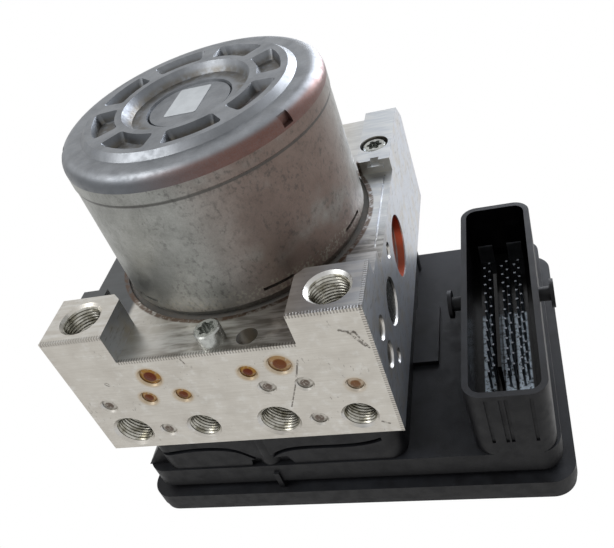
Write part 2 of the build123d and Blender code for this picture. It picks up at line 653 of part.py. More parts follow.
def motor_seal_ring():
    """The rubber ring under the can's foot."""
    return ON_MOTOR * ring(GROOVE_RADIUS - SEAT, GROOVE_RADIUS - GROOVE_WIDTH + SEAT, GROOVE_FLOOR, CAN_FLOOR)


def motor_magnets():
    """The curved magnets on the can's wall."""
    low = CORE_BOTTOM - MAGNET_OVERLAP
    high = CORE_TOP + MAGNET_OVERLAP
    tube = ring(CAN_INSIDE - SEAT, CAN_INSIDE - MAGNET_THICK, low, high)
    half = math.radians(MAGNET_ARC / 2)
    reach = 2 * CAN_RADIUS
    sector = prism([(0, 0), (reach * math.cos(half), -reach * math.sin(half)),
                    (reach * math.cos(half), reach * math.sin(half))], low - 1, high + 1)
    magnet = tube & sector
    return [ON_MOTOR * Rot(0, 0, i * 360 / MAGNET_COUNT) * magnet for i in range(MAGNET_COUNT)]


def brush_plate():
    """The plastic plate inside the can's mouth, with two brush boxes and the lower bearing seat."""
    top = MOTOR_FACE + PLATE_THICK
    plate = rod_z(CAN_INSIDE - AIR, MOTOR_FACE, top)
    start = COMMUTATOR_RADIUS + AIR
    box_top = top + BRUSH_HEIGHT + SHELL + RUN
    for turn in (0, 180):
        box = slab(start, start + BRUSH_LENGTH + SHELL / 2, -BRUSH_WIDTH / 2 - SHELL / 2,
                   BRUSH_WIDTH / 2 + SHELL / 2, top, box_top)
        plate += Rot(0, 0, turn) * box
        hollow = slab(start - 1, start + BRUSH_LENGTH + RUN, -BRUSH_WIDTH / 2 - RUN, BRUSH_WIDTH / 2 + RUN,
                      top + SHELL / 2 - RUN, top + SHELL / 2 + BRUSH_HEIGHT)
        plate -= Rot(0, 0, turn) * hollow
    plate -= rod_z(BEARING_RADIUS + SEAT, MOTOR_FACE - 1, top + 1)
    return ON_MOTOR * plate


def motor_brushes():
    """The two carbon brushes, one on each side of the commutator."""
    start = COMMUTATOR_RADIUS + RUN
    low = MOTOR_FACE + PLATE_THICK + SHELL / 2
    brush = slab(start, start + BRUSH_LENGTH, -BRUSH_WIDTH / 2, BRUSH_WIDTH / 2, low, low + BRUSH_HEIGHT - RUN)
    return [ON_MOTOR * Rot(0, 0, turn) * brush for turn in (0, 180)]


def bearing(low):
    """A shaft bearing about the motor axis."""
    return ON_MOTOR * ring(BEARING_RADIUS, SHAFT_RADIUS + RUN, low, low + BEARING_HEIGHT)


def pilot_bush():
    """The bush at the bottom of the eccentric chamber."""
    floor = PUMP_LEVEL - CHAMBER_BELOW
    return ON_MOTOR * ring(PILOT_RADIUS + BUSH_WALL - SEAT, PILOT_RADIUS + RUN, floor - PILOT_DEPTH, floor)


def armature_shaft():
    """The motor shaft with its eccentric and lower pilot."""
    floor = PUMP_LEVEL - CHAMBER_BELOW
    half = CAM_RING_HEIGHT / 2
    shaft = rod_z(SHAFT_RADIUS, PUMP_LEVEL, CAP_CEILING - CAP_GROOVE - AIR)
    shaft += rod_z(PILOT_RADIUS, floor - PILOT_DEPTH + AIR, PUMP_LEVEL)
    shaft += rod_z(ECCENTRIC_RADIUS, PUMP_LEVEL - half - AIR, PUMP_LEVEL + half + AIR, 0, -THROW)
    return ON_MOTOR * shaft


def cam_ring():
    """The needle-bearing ring on the eccentric, which drives both pump pistons."""
    half = CAM_RING_HEIGHT / 2
    outer = ring(CAM_RING_RADIUS, ECCENTRIC_RADIUS + SEAT, PUMP_LEVEL - half, PUMP_LEVEL + half)
    return ON_MOTOR * Pos(0, -THROW, 0) * outer


def armature_core():
    """The slotted laminated core."""
    core = ring(CORE_RADIUS, SHAFT_RADIUS + SEAT, CORE_BOTTOM, CORE_TOP)
    slot = slab(CORE_RADIUS - SLOT_DEPTH, CORE_RADIUS + 1, -SLOT_WIDTH / 2, SLOT_WIDTH / 2,
                CORE_BOTTOM - 1, CORE_TOP + 1)
    core -= [Rot(0, 0, i * 360 / SLOT_COUNT) * slot for i in range(SLOT_COUNT)]
    return ON_MOTOR * core


def armature_windings():
    """The end turns of the winding, below and above the core, joined through the slots."""
    inner = CORE_RADIUS - SLOT_DEPTH
    outer = CORE_RADIUS - SHELL
    coil = ring(outer, inner, CORE_BOTTOM - WINDING_HEIGHT, CORE_BOTTOM)
    coil += ring(outer, inner, CORE_TOP, CORE_TOP + WINDING_HEIGHT)
    fill = SLOT_WIDTH / 2 - SEAT
    bar = slab(inner + SEAT, outer, -fill, fill, CORE_BOTTOM - 1, CORE_TOP + 1)
    coil += [Rot(0, 0, i * 360 / SLOT_COUNT) * bar for i in range(SLOT_COUNT)]
    return ON_MOTOR * coil


def commutator():
    """The ring of commutator bars."""
    low = MOTOR_FACE + PLATE_THICK
    body = ring(COMMUTATOR_RADIUS, SHAFT_RADIUS + SEAT, low + AIR + SHELL / 2, low + COMMUTATOR_HEIGHT)
    gap = slab(COMMUTATOR_RADIUS - 1, COMMUTATOR_RADIUS + 1, -AIR, AIR, low, low + COMMUTATOR_HEIGHT + 1)
    body -= [Rot(0, 0, (i + 0.5) * 360 / COMMUTATOR_BARS) * gap for i in range(COMMUTATOR_BARS)]
    return ON_MOTOR * body


def valve_body(x, y):
    """A valve cartridge: a plug in the block and a closed tube that hangs into its coil."""
    low = BLOCK_BOTTOM - DOME_LENGTH
    bore_low = low + DOME_END
    bore_high = bore_low + ARMATURE_LENGTH + 2 * ARMATURE_TRAVEL
    body = rod_z(VALVE_RADIUS - SEAT, BLOCK_BOTTOM, BLOCK_BOTTOM + VALVE_DEPTH - SEAT, x, y)
    body += rod_z(DOME_RADIUS, low, BLOCK_BOTTOM, x, y)
    return body - rod_z(ARMATURE_RADIUS + RUN, bore_low, bore_high, x, y)


def valve_armature(x, y):
    """The sliding armature inside a valve's tube."""
    low = BLOCK_BOTTOM - DOME_LENGTH + DOME_END + ARMATURE_TRAVEL / 2
    return rod_z(ARMATURE_RADIUS, low, low + ARMATURE_LENGTH, x, y)


def valve_coil(x, y):
    """A solenoid coil, standing on the deck of the control unit round a valve's tube."""
    outer = rod_z(COIL_RADIUS, DECK_TOP, DECK_TOP + COIL_HEIGHT, x, y)
    return outer - rod_z(DOME_RADIUS + AIR, DECK_TOP - 1, DECK_TOP + COIL_HEIGHT + 1, x, y)


def lug(x, y, low, high):
    """The round boss that takes one screw, with a web where it stands off the coil box."""
    boss = rod_z(LUG_RADIUS, low, high, x, y)
    if x + LUG_RADIUS < COIL_BOX_LEFT:
        boss += slab(x, COIL_BOX_LEFT + SHELL, y - LUG_WEB / 2, y + LUG_WEB / 2, low, high)
    return boss


def screw_places():
    """Plan positions of the three screws."""
    return (FRONT_SCREW,) + REAR_SCREWS


def wave_groove():
    """The wavy groove in the front of the coil box, as a tool."""
    upper = Spline(*[(MOTOR_X + x, WALL_TOP + z) for x, z in WAVE])
    lower = Spline(*[(MOTOR_X + x, WALL_TOP + z - WAVE_HEIGHT) for x, z in WAVE])
    band = upper + Line(upper @ 1, lower @ 1) + lower + Line(lower @ 0, upper @ 0)
    return Pos(0, COIL_BOX_FRONT + WAVE_DEPTH, 0) * extrude(Plane.XZ * make_face(band), WAVE_DEPTH + 1)


def front_window():
    """The shallow window between the two pillows, as a tool."""
    outline = Polyline(*[(MOTOR_X + x, WALL_TOP + z) for x, z in WINDOW], close=True)
    return Pos(0, COIL_BOX_FRONT + WAVE_DEPTH, 0) * extrude(Plane.XZ * make_face(outline), WAVE_DEPTH + 1)


def coil_box():
    """The upper part of the control unit's housing, which closes over the coils."""
    top = COIL_BOX_TOP - GASKET
    box = round_slab(COIL_BOX_LEFT, COIL_BOX_RIGHT, COIL_BOX_FRONT, COIL_BOX_BACK, WALL_TOP, top, COIL_BOX_CORNER)
    skirt = Polyline((WALL_LEFT, WALL_TOP), (COIL_BOX_LEFT + SHELL, WALL_TOP),
                     (COIL_BOX_LEFT + SHELL, WALL_TOP + SKIRT_HEIGHT), (COIL_BOX_LEFT, WALL_TOP + SKIRT_HEIGHT),
                     close=True)
    back = COIL_BOX_BACK - COIL_BOX_CORNER
    box += Pos(0, back, 0) * extrude(Plane.XZ * make_face(skirt), back - SKIRT_FRONT)
    box -= [wave_groove(), front_window()]
    box -= round_slab(COIL_BOX_LEFT + SHELL, COIL_BOX_RIGHT - SHELL, COIL_BOX_FRONT + SHELL, COIL_BOX_BACK - SHELL,
                      DECK_TOP, top + 1, COIL_BOX_CORNER - SHELL)
    return box


def shroud_outside():
    """The outer walls of the connector shroud."""
    return round_slab(SHROUD_LEFT, SHROUD_LEFT + SHROUD_WIDTH, 0, SHROUD_DEPTH, WALL_TOP - 1, SHROUD_TOP,
                      SHROUD_CORNER)


def shroud_pegs():
    """The two headed pegs for the plug's locking lever."""
    level = SHROUD_TOP - PEG_DROP
    middle = SHROUD_DEPTH / 2
    right = SHROUD_LEFT + SHROUD_WIDTH
    peg = rod_x(PEG_RADIUS, right - SHROUD_WALL / 2, right + PEG_REACH, middle, level)
    peg += rod_x(PEG_HEAD_RADIUS, right + PEG_REACH - PEG_HEAD, right + PEG_REACH, middle, level)
    return [peg, mirror(peg, Plane.YZ.offset(SHROUD_MIDDLE))]


def ecu_housing():
    """The moulded housing: flange, wall, coil box and connector shroud in one piece."""
    flange = round_slab(COVER_INSET, COVER_INSET + COVER_WIDTH, -COVER_LIP, COVER_DEPTH - COVER_LIP,
                        COVER_THICK, FLANGE_TOP, COVER_CORNER)
    wall = round_slab(WALL_LEFT, WALL_RIGHT, 0, WALL_BACK, FLANGE_TOP + WAIST_HEIGHT, WALL_TOP, WALL_CORNER)
    wall += round_slab(WALL_LEFT + WAIST_DEPTH, WALL_RIGHT - WAIST_DEPTH, WAIST_DEPTH, WALL_BACK - WAIST_DEPTH,
                       FLANGE_TOP, WALL_TOP, WALL_CORNER - WAIST_DEPTH)
    rib = MOTOR_X + RIB_OFFSET
    half = RIB_WIDTH / 2
    wall += slab(rib - half, rib + half, -half, SHELL / 2, FLANGE_TOP, FLANGE_TOP + RIB_HEIGHT)
    body = flange + wall + shroud_outside() + shroud_pegs()
    body -= round_slab(WALL_LEFT + SHELL, WALL_RIGHT - SHELL, SHELL, WALL_BACK - SHELL,
                       COVER_THICK - 1, DECK_TOP - DECK, WALL_CORNER - SHELL)
    body -= round_slab(COIL_BOX_LEFT + SHELL, COIL_BOX_RIGHT - SHELL, COIL_BOX_FRONT + SHELL,
                       COIL_BOX_BACK - SHELL, DECK_TOP, WALL_TOP + 1, COIL_BOX_CORNER - SHELL)
    body += coil_box()
    body += slab(COIL_BOX_RIGHT, COIL_BOX_RIGHT + STEP_WIDTH, STEP_FRONT, STEP_BACK, WALL_TOP, WALL_TOP + STEP_HEIGHT)
    body -= round_slab(SHROUD_LEFT + SHROUD_WALL, SHROUD_LEFT + SHROUD_WIDTH - SHROUD_WALL, SHROUD_WALL,
                       SHROUD_DEPTH - SHROUD_WALL, SHROUD_FLOOR, SHROUD_TOP + 1, SHROUD_CORNER - SHROUD_WALL)
    for x, y in screw_places():
        body += lug(x, y, DECK_TOP - DECK, COIL_BOX_TOP - GASKET)
        body -= rod_z(SCREW_RADIUS + RUN, COIL_BOX_TOP - SCREW_REACH - 1, COIL_BOX_TOP + 1, x, y)
    for offset in SHROUD_GROOVES:
        x = SHROUD_LEFT + offset
        body -= slab(x - GROOVE_LINE / 2, x + GROOVE_LINE / 2, -1, GROOVE_CUT,
                     WALL_TOP + GROOVE_FOOT, SHROUD_TOP - GROOVE_HEAD)
    body -= rod_z(FEED_HOLE, DECK_TOP - DECK - 1, DECK_TOP + 1, MOTOR_X, FEED_BACK)
    body -= carrier_blank(SEAT)
    inset = SHELL + POST_INSET + POST_RADIUS
    for x in (WALL_LEFT + inset, WALL_RIGHT - inset):
        for y in (inset, WALL_BACK - inset):
            body += rod_z(POST_RADIUS, BOARD_LEVEL + BOARD_THICK, DECK_TOP - DECK / 2, x, y)
    return body


def carrier_blank(spare):
    """The space of the pin carrier, larger by spare all round."""
    return round_slab(SHROUD_MIDDLE - CARRIER_WIDTH / 2 - spare, SHROUD_MIDDLE + CARRIER_WIDTH / 2 + spare,
                      CARRIER_FRONT - spare, CARRIER_BACK + spare, DECK_TOP - DECK - spare,
                      SHROUD_FLOOR + CARRIER_RISE + spare, CARRIER_CORNER)


def pin_places():
    """Plan positions of the small pins, in three staggered pairs of columns."""
    places = []
    for i, offset in enumerate(PIN_COLUMNS):
        shift = PIN_PITCH / 2 * (i % 2)
        places += [(SHROUD_LEFT + offset, PIN_FIRST + shift + n * PIN_PITCH) for n in range(PIN_COUNT)]
    return places


def connector_pins():
    """The contact pins, from the circuit board up into the shroud, and two power blades."""
    low = BOARD_LEVEL + BOARD_THICK
    high = SHROUD_FLOOR + CARRIER_RISE + PIN_HEIGHT
    half = PIN_SIZE / 2
    pins = [slab(x - half, x + half, y - half, y + half, low, high) for x, y in pin_places()]
    for x in (SHROUD_MIDDLE - BLADE_WIDTH, SHROUD_MIDDLE + BLADE_WIDTH):
        pins.append(slab(x - BLADE_WIDTH / 2, x + BLADE_WIDTH / 2, BLADE_BACK - BLADE_THICK, BLADE_BACK, low, high))
    return pins


def pin_carrier():
    """The insulating block that the pins pass through, with its keying fin."""
    carrier = carrier_blank(0)
    x = SHROUD_LEFT + FIN_PLACE
    top = SHROUD_FLOOR + CARRIER_RISE
    carrier += slab(x - FIN_THICK / 2, x + FIN_THICK / 2, FIN_FRONT, FIN_BACK, top - FIN_ROOT, top + FIN_HEIGHT)
    return carrier - connector_pins()


def ecu_cover():
    """The flat cover that closes the housing from below."""
    return round_slab(COVER_INSET + SEAM, COVER_INSET + COVER_WIDTH - SEAM, SEAM - COVER_LIP,
                      COVER_DEPTH - COVER_LIP - SEAM, 0, COVER_THICK, COVER_CORNER - SEAM)


def circuit_board():
    """The circuit board, hung from the posts of the housing."""
    return round_slab(WALL_LEFT + SHELL + BOARD_GAP, WALL_RIGHT - SHELL - BOARD_GAP, SHELL + BOARD_GAP,
                      WALL_BACK - SHELL - BOARD_GAP, BOARD_LEVEL, BOARD_LEVEL + BOARD_THICK,
                      WALL_CORNER - SHELL)


def housing_gasket():
    """The gasket between the coil box and the block."""
    low = COIL_BOX_TOP - GASKET
    frame = round_slab(COIL_BOX_LEFT, COIL_BOX_RIGHT, COIL_BOX_FRONT, COIL_BOX_BACK, low, COIL_BOX_TOP,
                       COIL_BOX_CORNER)
    frame -= round_slab(COIL_BOX_LEFT + SHELL, COIL_BOX_RIGHT - SHELL, COIL_BOX_FRONT + SHELL, COIL_BOX_BACK - SHELL,
                        low - 1, COIL_BOX_TOP + 1, COIL_BOX_CORNER - SHELL)
    frame += [lug(x, y, low, COIL_BOX_TOP) for x, y in screw_places()]
    return frame - [rod_z(SCREW_HOLE, low - 1, COIL_BOX_TOP + 1, x, y) for x, y in screw_places()]


def screw(x, y, seat):
    """A socket-head screw whose head stands on a seat at the given level."""
    shank = rod_z(SCREW_RADIUS, COIL_BOX_TOP - SCREW_REACH, seat, x, y)
    head = rod_z(HEAD_RADIUS, seat, seat + HEAD_HEIGHT)
    head = chamfer(head.edges().group_by(Axis.Z)[-1], EDGE_BREAK)
    socket = rod_z(HEAD_SOCKET, seat + HEAD_HEIGHT - SOCKET_DEPTH, seat + HEAD_HEIGHT + 1)
    lobe = rod_z(HEAD_SOCKET / 3, seat + HEAD_HEIGHT - SOCKET_DEPTH, seat + HEAD_HEIGHT + 1, HEAD_SOCKET, 0)
    socket += [Rot(0, 0, i * 360 / SOCKET_LOBES) * lobe for i in range(SOCKET_LOBES)]
    return shank + Pos(x, y, 0) * (head - socket)


def fixing_screws():
    """The three screws that clamp the control unit to the block."""
    screws = [screw(*FRONT_SCREW, MOTOR_FACE)]
    return screws + [screw(x, y, SHELF_TOP - SINK_DEPTH) for x, y in REAR_SCREWS]


def motor_leads():
    """The two leads from the circuit board up to the brush plate."""
    low = BOARD_LEVEL + BOARD_THICK
    half = FEED_SPREAD / 2
    return [rod_z(FEED_RADIUS, low, MOTOR_FACE, MOTOR_X + side, FEED_BACK) for side in (-half, half)]


def save(name, shape):
    """Write one node, as one solid or a group of separate solids."""
    solids = shape if isinstance(shape, list) else [shape]
    solids = [solid for item in solids for solid in item.solids()]
    moved = [TO_FRAME * solid for solid in solids]
    export_step(moved[0] if len(moved) == 1 else Compound(children=moved), f"parts/{name}.step")


def save_valves():
    """Write the valve bodies, their coils and each sliding armature."""
    for row, y in zip(("inlet", "outlet"), VALVE_ROWS):
        save(f"{row}_valve_bodies", [valve_body(x, y) for x in VALVE_COLUMNS])
        save(f"{row}_valve_coils", [valve_coil(x, y) for x in VALVE_COLUMNS])
        for i, x in enumerate(VALVE_COLUMNS):
            save(f"{row}_armature_{i + 1}", valve_armature(x, y))


def main():
    """Build and write every node."""
    os.makedirs("parts", exist_ok=True)
    save("valve_block", valve_block())
    save("small_plugs", front_plugs(small_plug_places(), SMALL_PLUG))
    save("large_plugs", front_plugs(large_plug_places(), LARGE_PLUG))
    save("side_plugs", side_plugs())
    for group, pieces in (("pump", pump_pieces()), ("accumulator", store_pieces())):
        for piece, shape in pieces.items():
            save(f"{group}_{piece}_right", shape)
            save(f"{group}_{piece}_left", mirrored(shape))
    save("motor_can", motor_can())
    save("motor_end_cap", motor_end_cap())
    save("cap_label", cap_label())
    save("motor_seal_ring", motor_seal_ring())
    save("motor_magnets", motor_magnets())
    save("brush_plate", brush_plate())
    save("motor_brushes", motor_brushes())
    save("upper_bearing", bearing(CAP_CEILING - CAP_GROOVE - BEARING_HEIGHT))
    save("lower_bearing", bearing(MOTOR_FACE + PLATE_THICK - BEARING_HEIGHT))
    save("pilot_bush", pilot_bush())
    save("armature_shaft", armature_shaft())
    save("cam_ring", cam_ring())
    save("armature_core", armature_core())
    save("armature_windings", armature_windings())
    save("commutator", commutator())
    save_valves()
    save("ecu_housing", ecu_housing())
    save("ecu_cover", ecu_cover())
    save("circuit_board", circuit_board())
    save("pin_carrier", pin_carrier())
    save("connector_pins", connector_pins())
    save("housing_gasket", housing_gasket())
    save("fixing_screws", fixing_screws())
    save("motor_leads", motor_leads())


main()
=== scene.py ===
import json
import logging
import math
from dataclasses import dataclass
from enum import Enum
from typing import Iterable, Optional, Protocol, Sequence

import bpy
from mathutils import Matrix, Vector


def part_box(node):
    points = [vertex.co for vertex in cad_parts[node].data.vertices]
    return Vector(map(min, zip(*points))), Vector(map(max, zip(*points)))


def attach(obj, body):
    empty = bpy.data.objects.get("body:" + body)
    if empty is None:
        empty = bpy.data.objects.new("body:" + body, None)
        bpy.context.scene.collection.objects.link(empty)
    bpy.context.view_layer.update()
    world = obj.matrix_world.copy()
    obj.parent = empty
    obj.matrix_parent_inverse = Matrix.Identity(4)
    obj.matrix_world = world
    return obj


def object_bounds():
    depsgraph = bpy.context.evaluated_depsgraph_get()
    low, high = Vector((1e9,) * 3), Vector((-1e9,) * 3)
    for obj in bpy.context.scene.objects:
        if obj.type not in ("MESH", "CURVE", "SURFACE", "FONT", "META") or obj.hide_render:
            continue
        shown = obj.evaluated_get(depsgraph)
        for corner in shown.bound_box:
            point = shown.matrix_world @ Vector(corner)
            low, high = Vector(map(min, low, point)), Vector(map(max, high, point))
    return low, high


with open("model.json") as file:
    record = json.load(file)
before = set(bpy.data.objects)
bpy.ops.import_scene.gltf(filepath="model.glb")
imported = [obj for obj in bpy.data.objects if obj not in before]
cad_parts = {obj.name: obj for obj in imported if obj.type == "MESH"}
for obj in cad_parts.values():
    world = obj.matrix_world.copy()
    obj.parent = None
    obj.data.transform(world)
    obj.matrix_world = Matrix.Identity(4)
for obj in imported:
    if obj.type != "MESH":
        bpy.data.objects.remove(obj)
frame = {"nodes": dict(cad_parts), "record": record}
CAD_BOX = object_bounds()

# Looks of an anti-lock brake module: a drilled aluminium block with a pump motor on it and a black
# plastic control unit under it. Lengths are in millimetres and become metres when a mesh or a
# pattern is made. Places on the block are given from its left face, its front face and the tops of
# its two port bosses.

LOG = logging.getLogger("brake_module")
MM = 0.001
Socket = bpy.types.NodeSocket
Point = Sequence[float]

# The camera, solved from the parallel edges of the block
SENSOR_WIDTH = 36.0
LENS = 42.74
CAMERA_PLACE = Vector((0.06503, -0.17413, 0.18569))
CAMERA_RIGHT = Vector((0.94205, 0.15422, -0.29793))
CAMERA_UP = Vector((0.12813, 0.65535, 0.74438))
CLOSEST_SEEN = 10.0

# The corners that all places are measured from
BLOCK_LOW, BLOCK_HIGH = (Vector(corner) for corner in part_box("valve_block"))
CAN_LOW, CAN_HIGH = (Vector(corner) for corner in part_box("motor_can"))
CAP_LOW, CAP_HIGH = (Vector(corner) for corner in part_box("motor_end_cap"))
CARRIER_LOW, CARRIER_HIGH = (Vector(corner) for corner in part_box("pin_carrier"))
UNIT_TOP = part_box("ecu_housing")[1][2]
MOTOR_AXIS = (CAP_LOW + CAP_HIGH) / 2
FRAME_ORIGIN = Vector((0, 0, 0))

# Directions, and which of them count in a distance from an axis
RIGHT = (1, 0, 0)
BACK = (0, 1, 0)
UP = (0, 0, 1)
FROM_UPRIGHT_AXIS = (1, 1, 0)
FROM_CROSSWISE_AXIS = (0, 1, 1)


def on_block(x: float, y: float, drop: float) -> Vector:
    """Gives a point in the frame from its place on the block.

    Args:
        x: Distance from the left face, in mm.
        y: Distance from the front face, in mm.
        drop: Distance below the tops of the port bosses, in mm.

    Returns:
        The point, in metres.
    """
    return Vector((BLOCK_LOW.x + x * MM, BLOCK_LOW.y + y * MM, BLOCK_HIGH.z - drop * MM))


def linear(colour: str) -> tuple[float, float, float, float]:
    """Turns an sRGB hex colour into linear values.

    Args:
        colour: The colour, such as "#8090a0".

    Returns:
        Linear red, green, blue and an alpha of 1.
    """
    values = [int(colour[i : i + 2], 16) / 255 for i in (1, 3, 5)]
    values = [v / 12.92 if v <= 0.04045 else ((v + 0.055) / 1.055) ** 2.4 for v in values]
    return (*values, 1.0)


def add(
    tree: bpy.types.NodeTree,
    kind: str,
    sockets: Optional[dict] = None,
    **settings: object,
) -> bpy.types.Node:
    """Adds a node with its settings and links.

    Args:
        tree: The node tree.
        kind: The node's type name.
        sockets: Input name or number, with a value or the output that feeds it.
        **settings: Plain properties of the node.

    Returns:
        The new node.
    """
    node = tree.nodes.new(kind)
    for name, value in settings.items():
        setattr(node, name, value)
    for key, value in (sockets or {}).items():
        if isinstance(value, Socket):
            tree.links.new(value, node.inputs[key])
        else:
            node.inputs[key].default_value = value
    return node


@dataclass(frozen=True)
class Blotches:
    """Random blotches, such as clouds, specks or grain.

    Attributes:
        size: Width of a blotch, in mm.
        start: Noise value where the mask is 0.
        end: Noise value where the mask is 1.
        detail: Finer layers in the noise.
        stretch: How many times longer a blotch is along each axis.
        shift: Moves the pattern, so that two masks differ.
    """

    size: float
    start: float = 0.35
    end: float = 0.65
    detail: float = 2.0
    stretch: tuple[float, float, float] = (1.0, 1.0, 1.0)
    shift: float = 0.0


class Surface:
    """A finish that is built up in layers on one material's shader."""

    def __init__(self, name: str, colour: str, metallic: float, roughness: float) -> None:
        """Starts a material.

        Args:
            name: The material's name.
            colour: Its clean colour, as sRGB hex.
            metallic: 1 for bare metal, 0 for anything else.
            roughness: Roughness where it is clean.
        """
        self.material = bpy.data.materials.new(name)
        self.material.use_nodes = True
        self.tree = self.material.node_tree
        self.shader = self.tree.nodes["Principled BSDF"]
        self.shader.inputs["Metallic"].default_value = metallic
        coordinates = add(self.tree, "ShaderNodeTexCoord")
        self.place = coordinates.outputs["Object"]
        self.normal = coordinates.outputs["Normal"]
        self.colour = linear(colour)
        self.roughness = roughness
        self.height = None

    def dull(self, level: float) -> "Surface":
        """Sets how strongly a surface that isn't metal mirrors its surroundings; 0.5 is plain glass."""
        self.shader.inputs["Specular IOR Level"].default_value = level
        return self

    def span(self, value: Socket, start: float, end: float) -> Socket:
        """Maps a value to a mask that goes from 0 at start to 1 at end."""
        sockets = {"Value": value, 1: start, 2: end}
        return add(self.tree, "ShaderNodeMapRange", sockets, interpolation_type="SMOOTHSTEP").outputs[0]

    def offset(self, origin: Point) -> Socket:
        """The way from a point in the frame to the place that is shaded."""
        sockets = {0: self.place, 1: tuple(origin)}
        return add(self.tree, "ShaderNodeVectorMath", sockets, operation="SUBTRACT").outputs[0]

    def shorter(self, way: Socket, start: float, end: float) -> Socket:
        """A mask that goes from 0 to 1 as the length of a way falls from start to end, in mm."""
        length = add(self.tree, "ShaderNodeVectorMath", {0: way}, operation="LENGTH")
        return self.span(length.outputs["Value"], start * MM, end * MM)

    def noise(self, blotches: Blotches) -> Socket:
        """A mask of random blotches.

        Args:
            blotches: Their size, spread and stretch.

        Returns:
            The mask, from 0 to 1.
        """
        squeeze = [1.0 / times for times in blotches.stretch]
        sockets = {"Vector": self.place, "Location": (blotches.shift,) * 3, "Scale": squeeze}
        moved = add(self.tree, "ShaderNodeMapping", sockets).outputs[0]
        scale = 1 / (blotches.size * MM)
        sockets = {"Vector": moved, "Scale": scale, "Detail": blotches.detail, "Roughness": 0.6}
        values = add(self.tree, "ShaderNodeTexNoise", sockets).outputs[0]
        return self.span(values, blotches.start, blotches.end)

    def along(self, axis: Point, origin: Point, start: float, end: float) -> Socket:
        """A mask along a direction.

        Args:
            axis: The direction.
            origin: Where the distance starts, in the frame.
            start: Distance along it where the mask is 0, in mm.
            end: Distance along it where the mask is 1, in mm.

        Returns:
            The mask.
        """
        sockets = {0: self.offset(origin), 1: tuple(axis)}
        reach = add(self.tree, "ShaderNodeVectorMath", sockets, operation="DOT_PRODUCT")
        return self.span(reach.outputs["Value"], start * MM, end * MM)

    def near(self, centre: Point, radius: float, soft: float, keep: Point = (1, 1, 1)) -> Socket:
        """A mask round a point, or round an axis where one direction isn't kept.

        Args:
            centre: The point, in the frame.
            radius: Where the mask is still 1, in mm.
            soft: How far past that it fades to 0, in mm.
            keep: Which directions count.

        Returns:
            The mask.
        """
        sockets = {0: self.offset(centre), 1: tuple(keep)}
        way = add(self.tree, "ShaderNodeVectorMath", sockets, operation="MULTIPLY").outputs[0]
        return self.shorter(way, radius + soft, radius)

    def inside(self, low: Point, high: Point, soft: float) -> Socket:
        """A mask inside a box.

        Args:
            low: The box's low corner, in the frame.
            high: Its high corner.
            soft: How far past the box the mask fades to 0, in mm.

        Returns:
            The mask.
        """
        middle = [(a + b) / 2 for a, b in zip(low, high)]
        half = tuple(abs(b - a) / 2 for a, b in zip(low, high))
        size = add(self.tree, "ShaderNodeVectorMath", {0: self.offset(middle)}, operation="ABSOLUTE")
        past = add(self.tree, "ShaderNodeVectorMath", {0: size.outputs[0], 1: half}, operation="SUBTRACT")
        ways = add(self.tree, "ShaderNodeSeparateXYZ", {0: past.outputs[0]}).outputs
        worst = ways[0]
        for way in (ways[1], ways[2]):
            worst = add(self.tree, "ShaderNodeMath", {0: worst, 1: way}, operation="MAXIMUM").outputs[0]
        return self.span(worst, soft * MM, 0.0)

    def stripes(self, axis: Point, pitch: float) -> Socket:
        """A mask of even stripes across a direction.

        Args:
            axis: The direction.
            pitch: Distance from stripe to stripe, in mm.

        Returns:
            The mask.
        """
        sockets = {0: self.place, 1: tuple(axis)}
        reach = add(self.tree, "ShaderNodeVectorMath", sockets, operation="DOT_PRODUCT")
        turn = self.both(reach.outputs["Value"], strength=2 * math.pi / (pitch * MM))
        wave = add(self.tree, "ShaderNodeMath", {0: turn}, operation="SINE").outputs[0]
        return self.span(wave, -0.2, 0.3)

    def stroke(self, start: Point, end: Point, width: float) -> Socket:
        """A mask along a straight scratch.

        Args:
            start: One end, in the frame.
            end: The other end.
            width: Its width, in mm.

        Returns:
            The mask.
        """
        line = Vector(end) - Vector(start)
        offset = self.offset(start)
        sockets = {0: offset, 1: tuple(line / line.length_squared)}
        share = add(self.tree, "ShaderNodeVectorMath", sockets, operation="DOT_PRODUCT").outputs["Value"]
        kept = add(self.tree, "ShaderNodeMath", {0: share, 1: 1.0}, operation="MULTIPLY", use_clamp=True)
        sockets = {0: tuple(line), "Scale": kept.outputs[0]}
        foot = add(self.tree, "ShaderNodeVectorMath", sockets, operation="SCALE")
        sockets = {0: offset, 1: foot.outputs[0]}
        away = add(self.tree, "ShaderNodeVectorMath", sockets, operation="SUBTRACT")
        return self.shorter(away.outputs[0], width, width / 2)

    def outside(self, mask: Socket) -> Socket:
        """The mask turned round: 1 where it was 0."""
        return add(self.tree, "ShaderNodeMath", {0: 1.0, 1: mask}, operation="SUBTRACT").outputs[0]

    def facing(self, axis: Point, start: float = 0.5, end: float = 0.9) -> Socket:
        """A mask on the faces that look along a direction, by the cosine of their turn away from it."""
        sockets = {0: self.normal, 1: tuple(axis)}
        turn = add(self.tree, "ShaderNodeVectorMath", sockets, operation="DOT_PRODUCT")
        return self.span(turn.outputs["Value"], start, end)

    def both(self, *masks: Socket, strength: float = 1.0) -> Socket:
        """The masks multiplied together, and by a strength."""
        result = strength
        for mask in masks:
            result = add(self.tree, "ShaderNodeMath", {0: result, 1: mask}, operation="MULTIPLY").outputs[0]
        return result

    def lay(self, colour: str, *masks: Socket, strength: float = 1.0) -> "Surface":
        """Lays a colour over what is there, where all the masks are 1.

        Args:
            colour: The colour, as sRGB hex.
            *masks: Where it lies.
            strength: How much of it covers what is there.

        Returns:
            The surface.
        """
        sockets = {0: self.both(*masks, strength=strength), 6: self.colour, 7: linear(colour)}
        self.colour = add(self.tree, "ShaderNodeMix", sockets, data_type="RGBA").outputs[2]
        return self

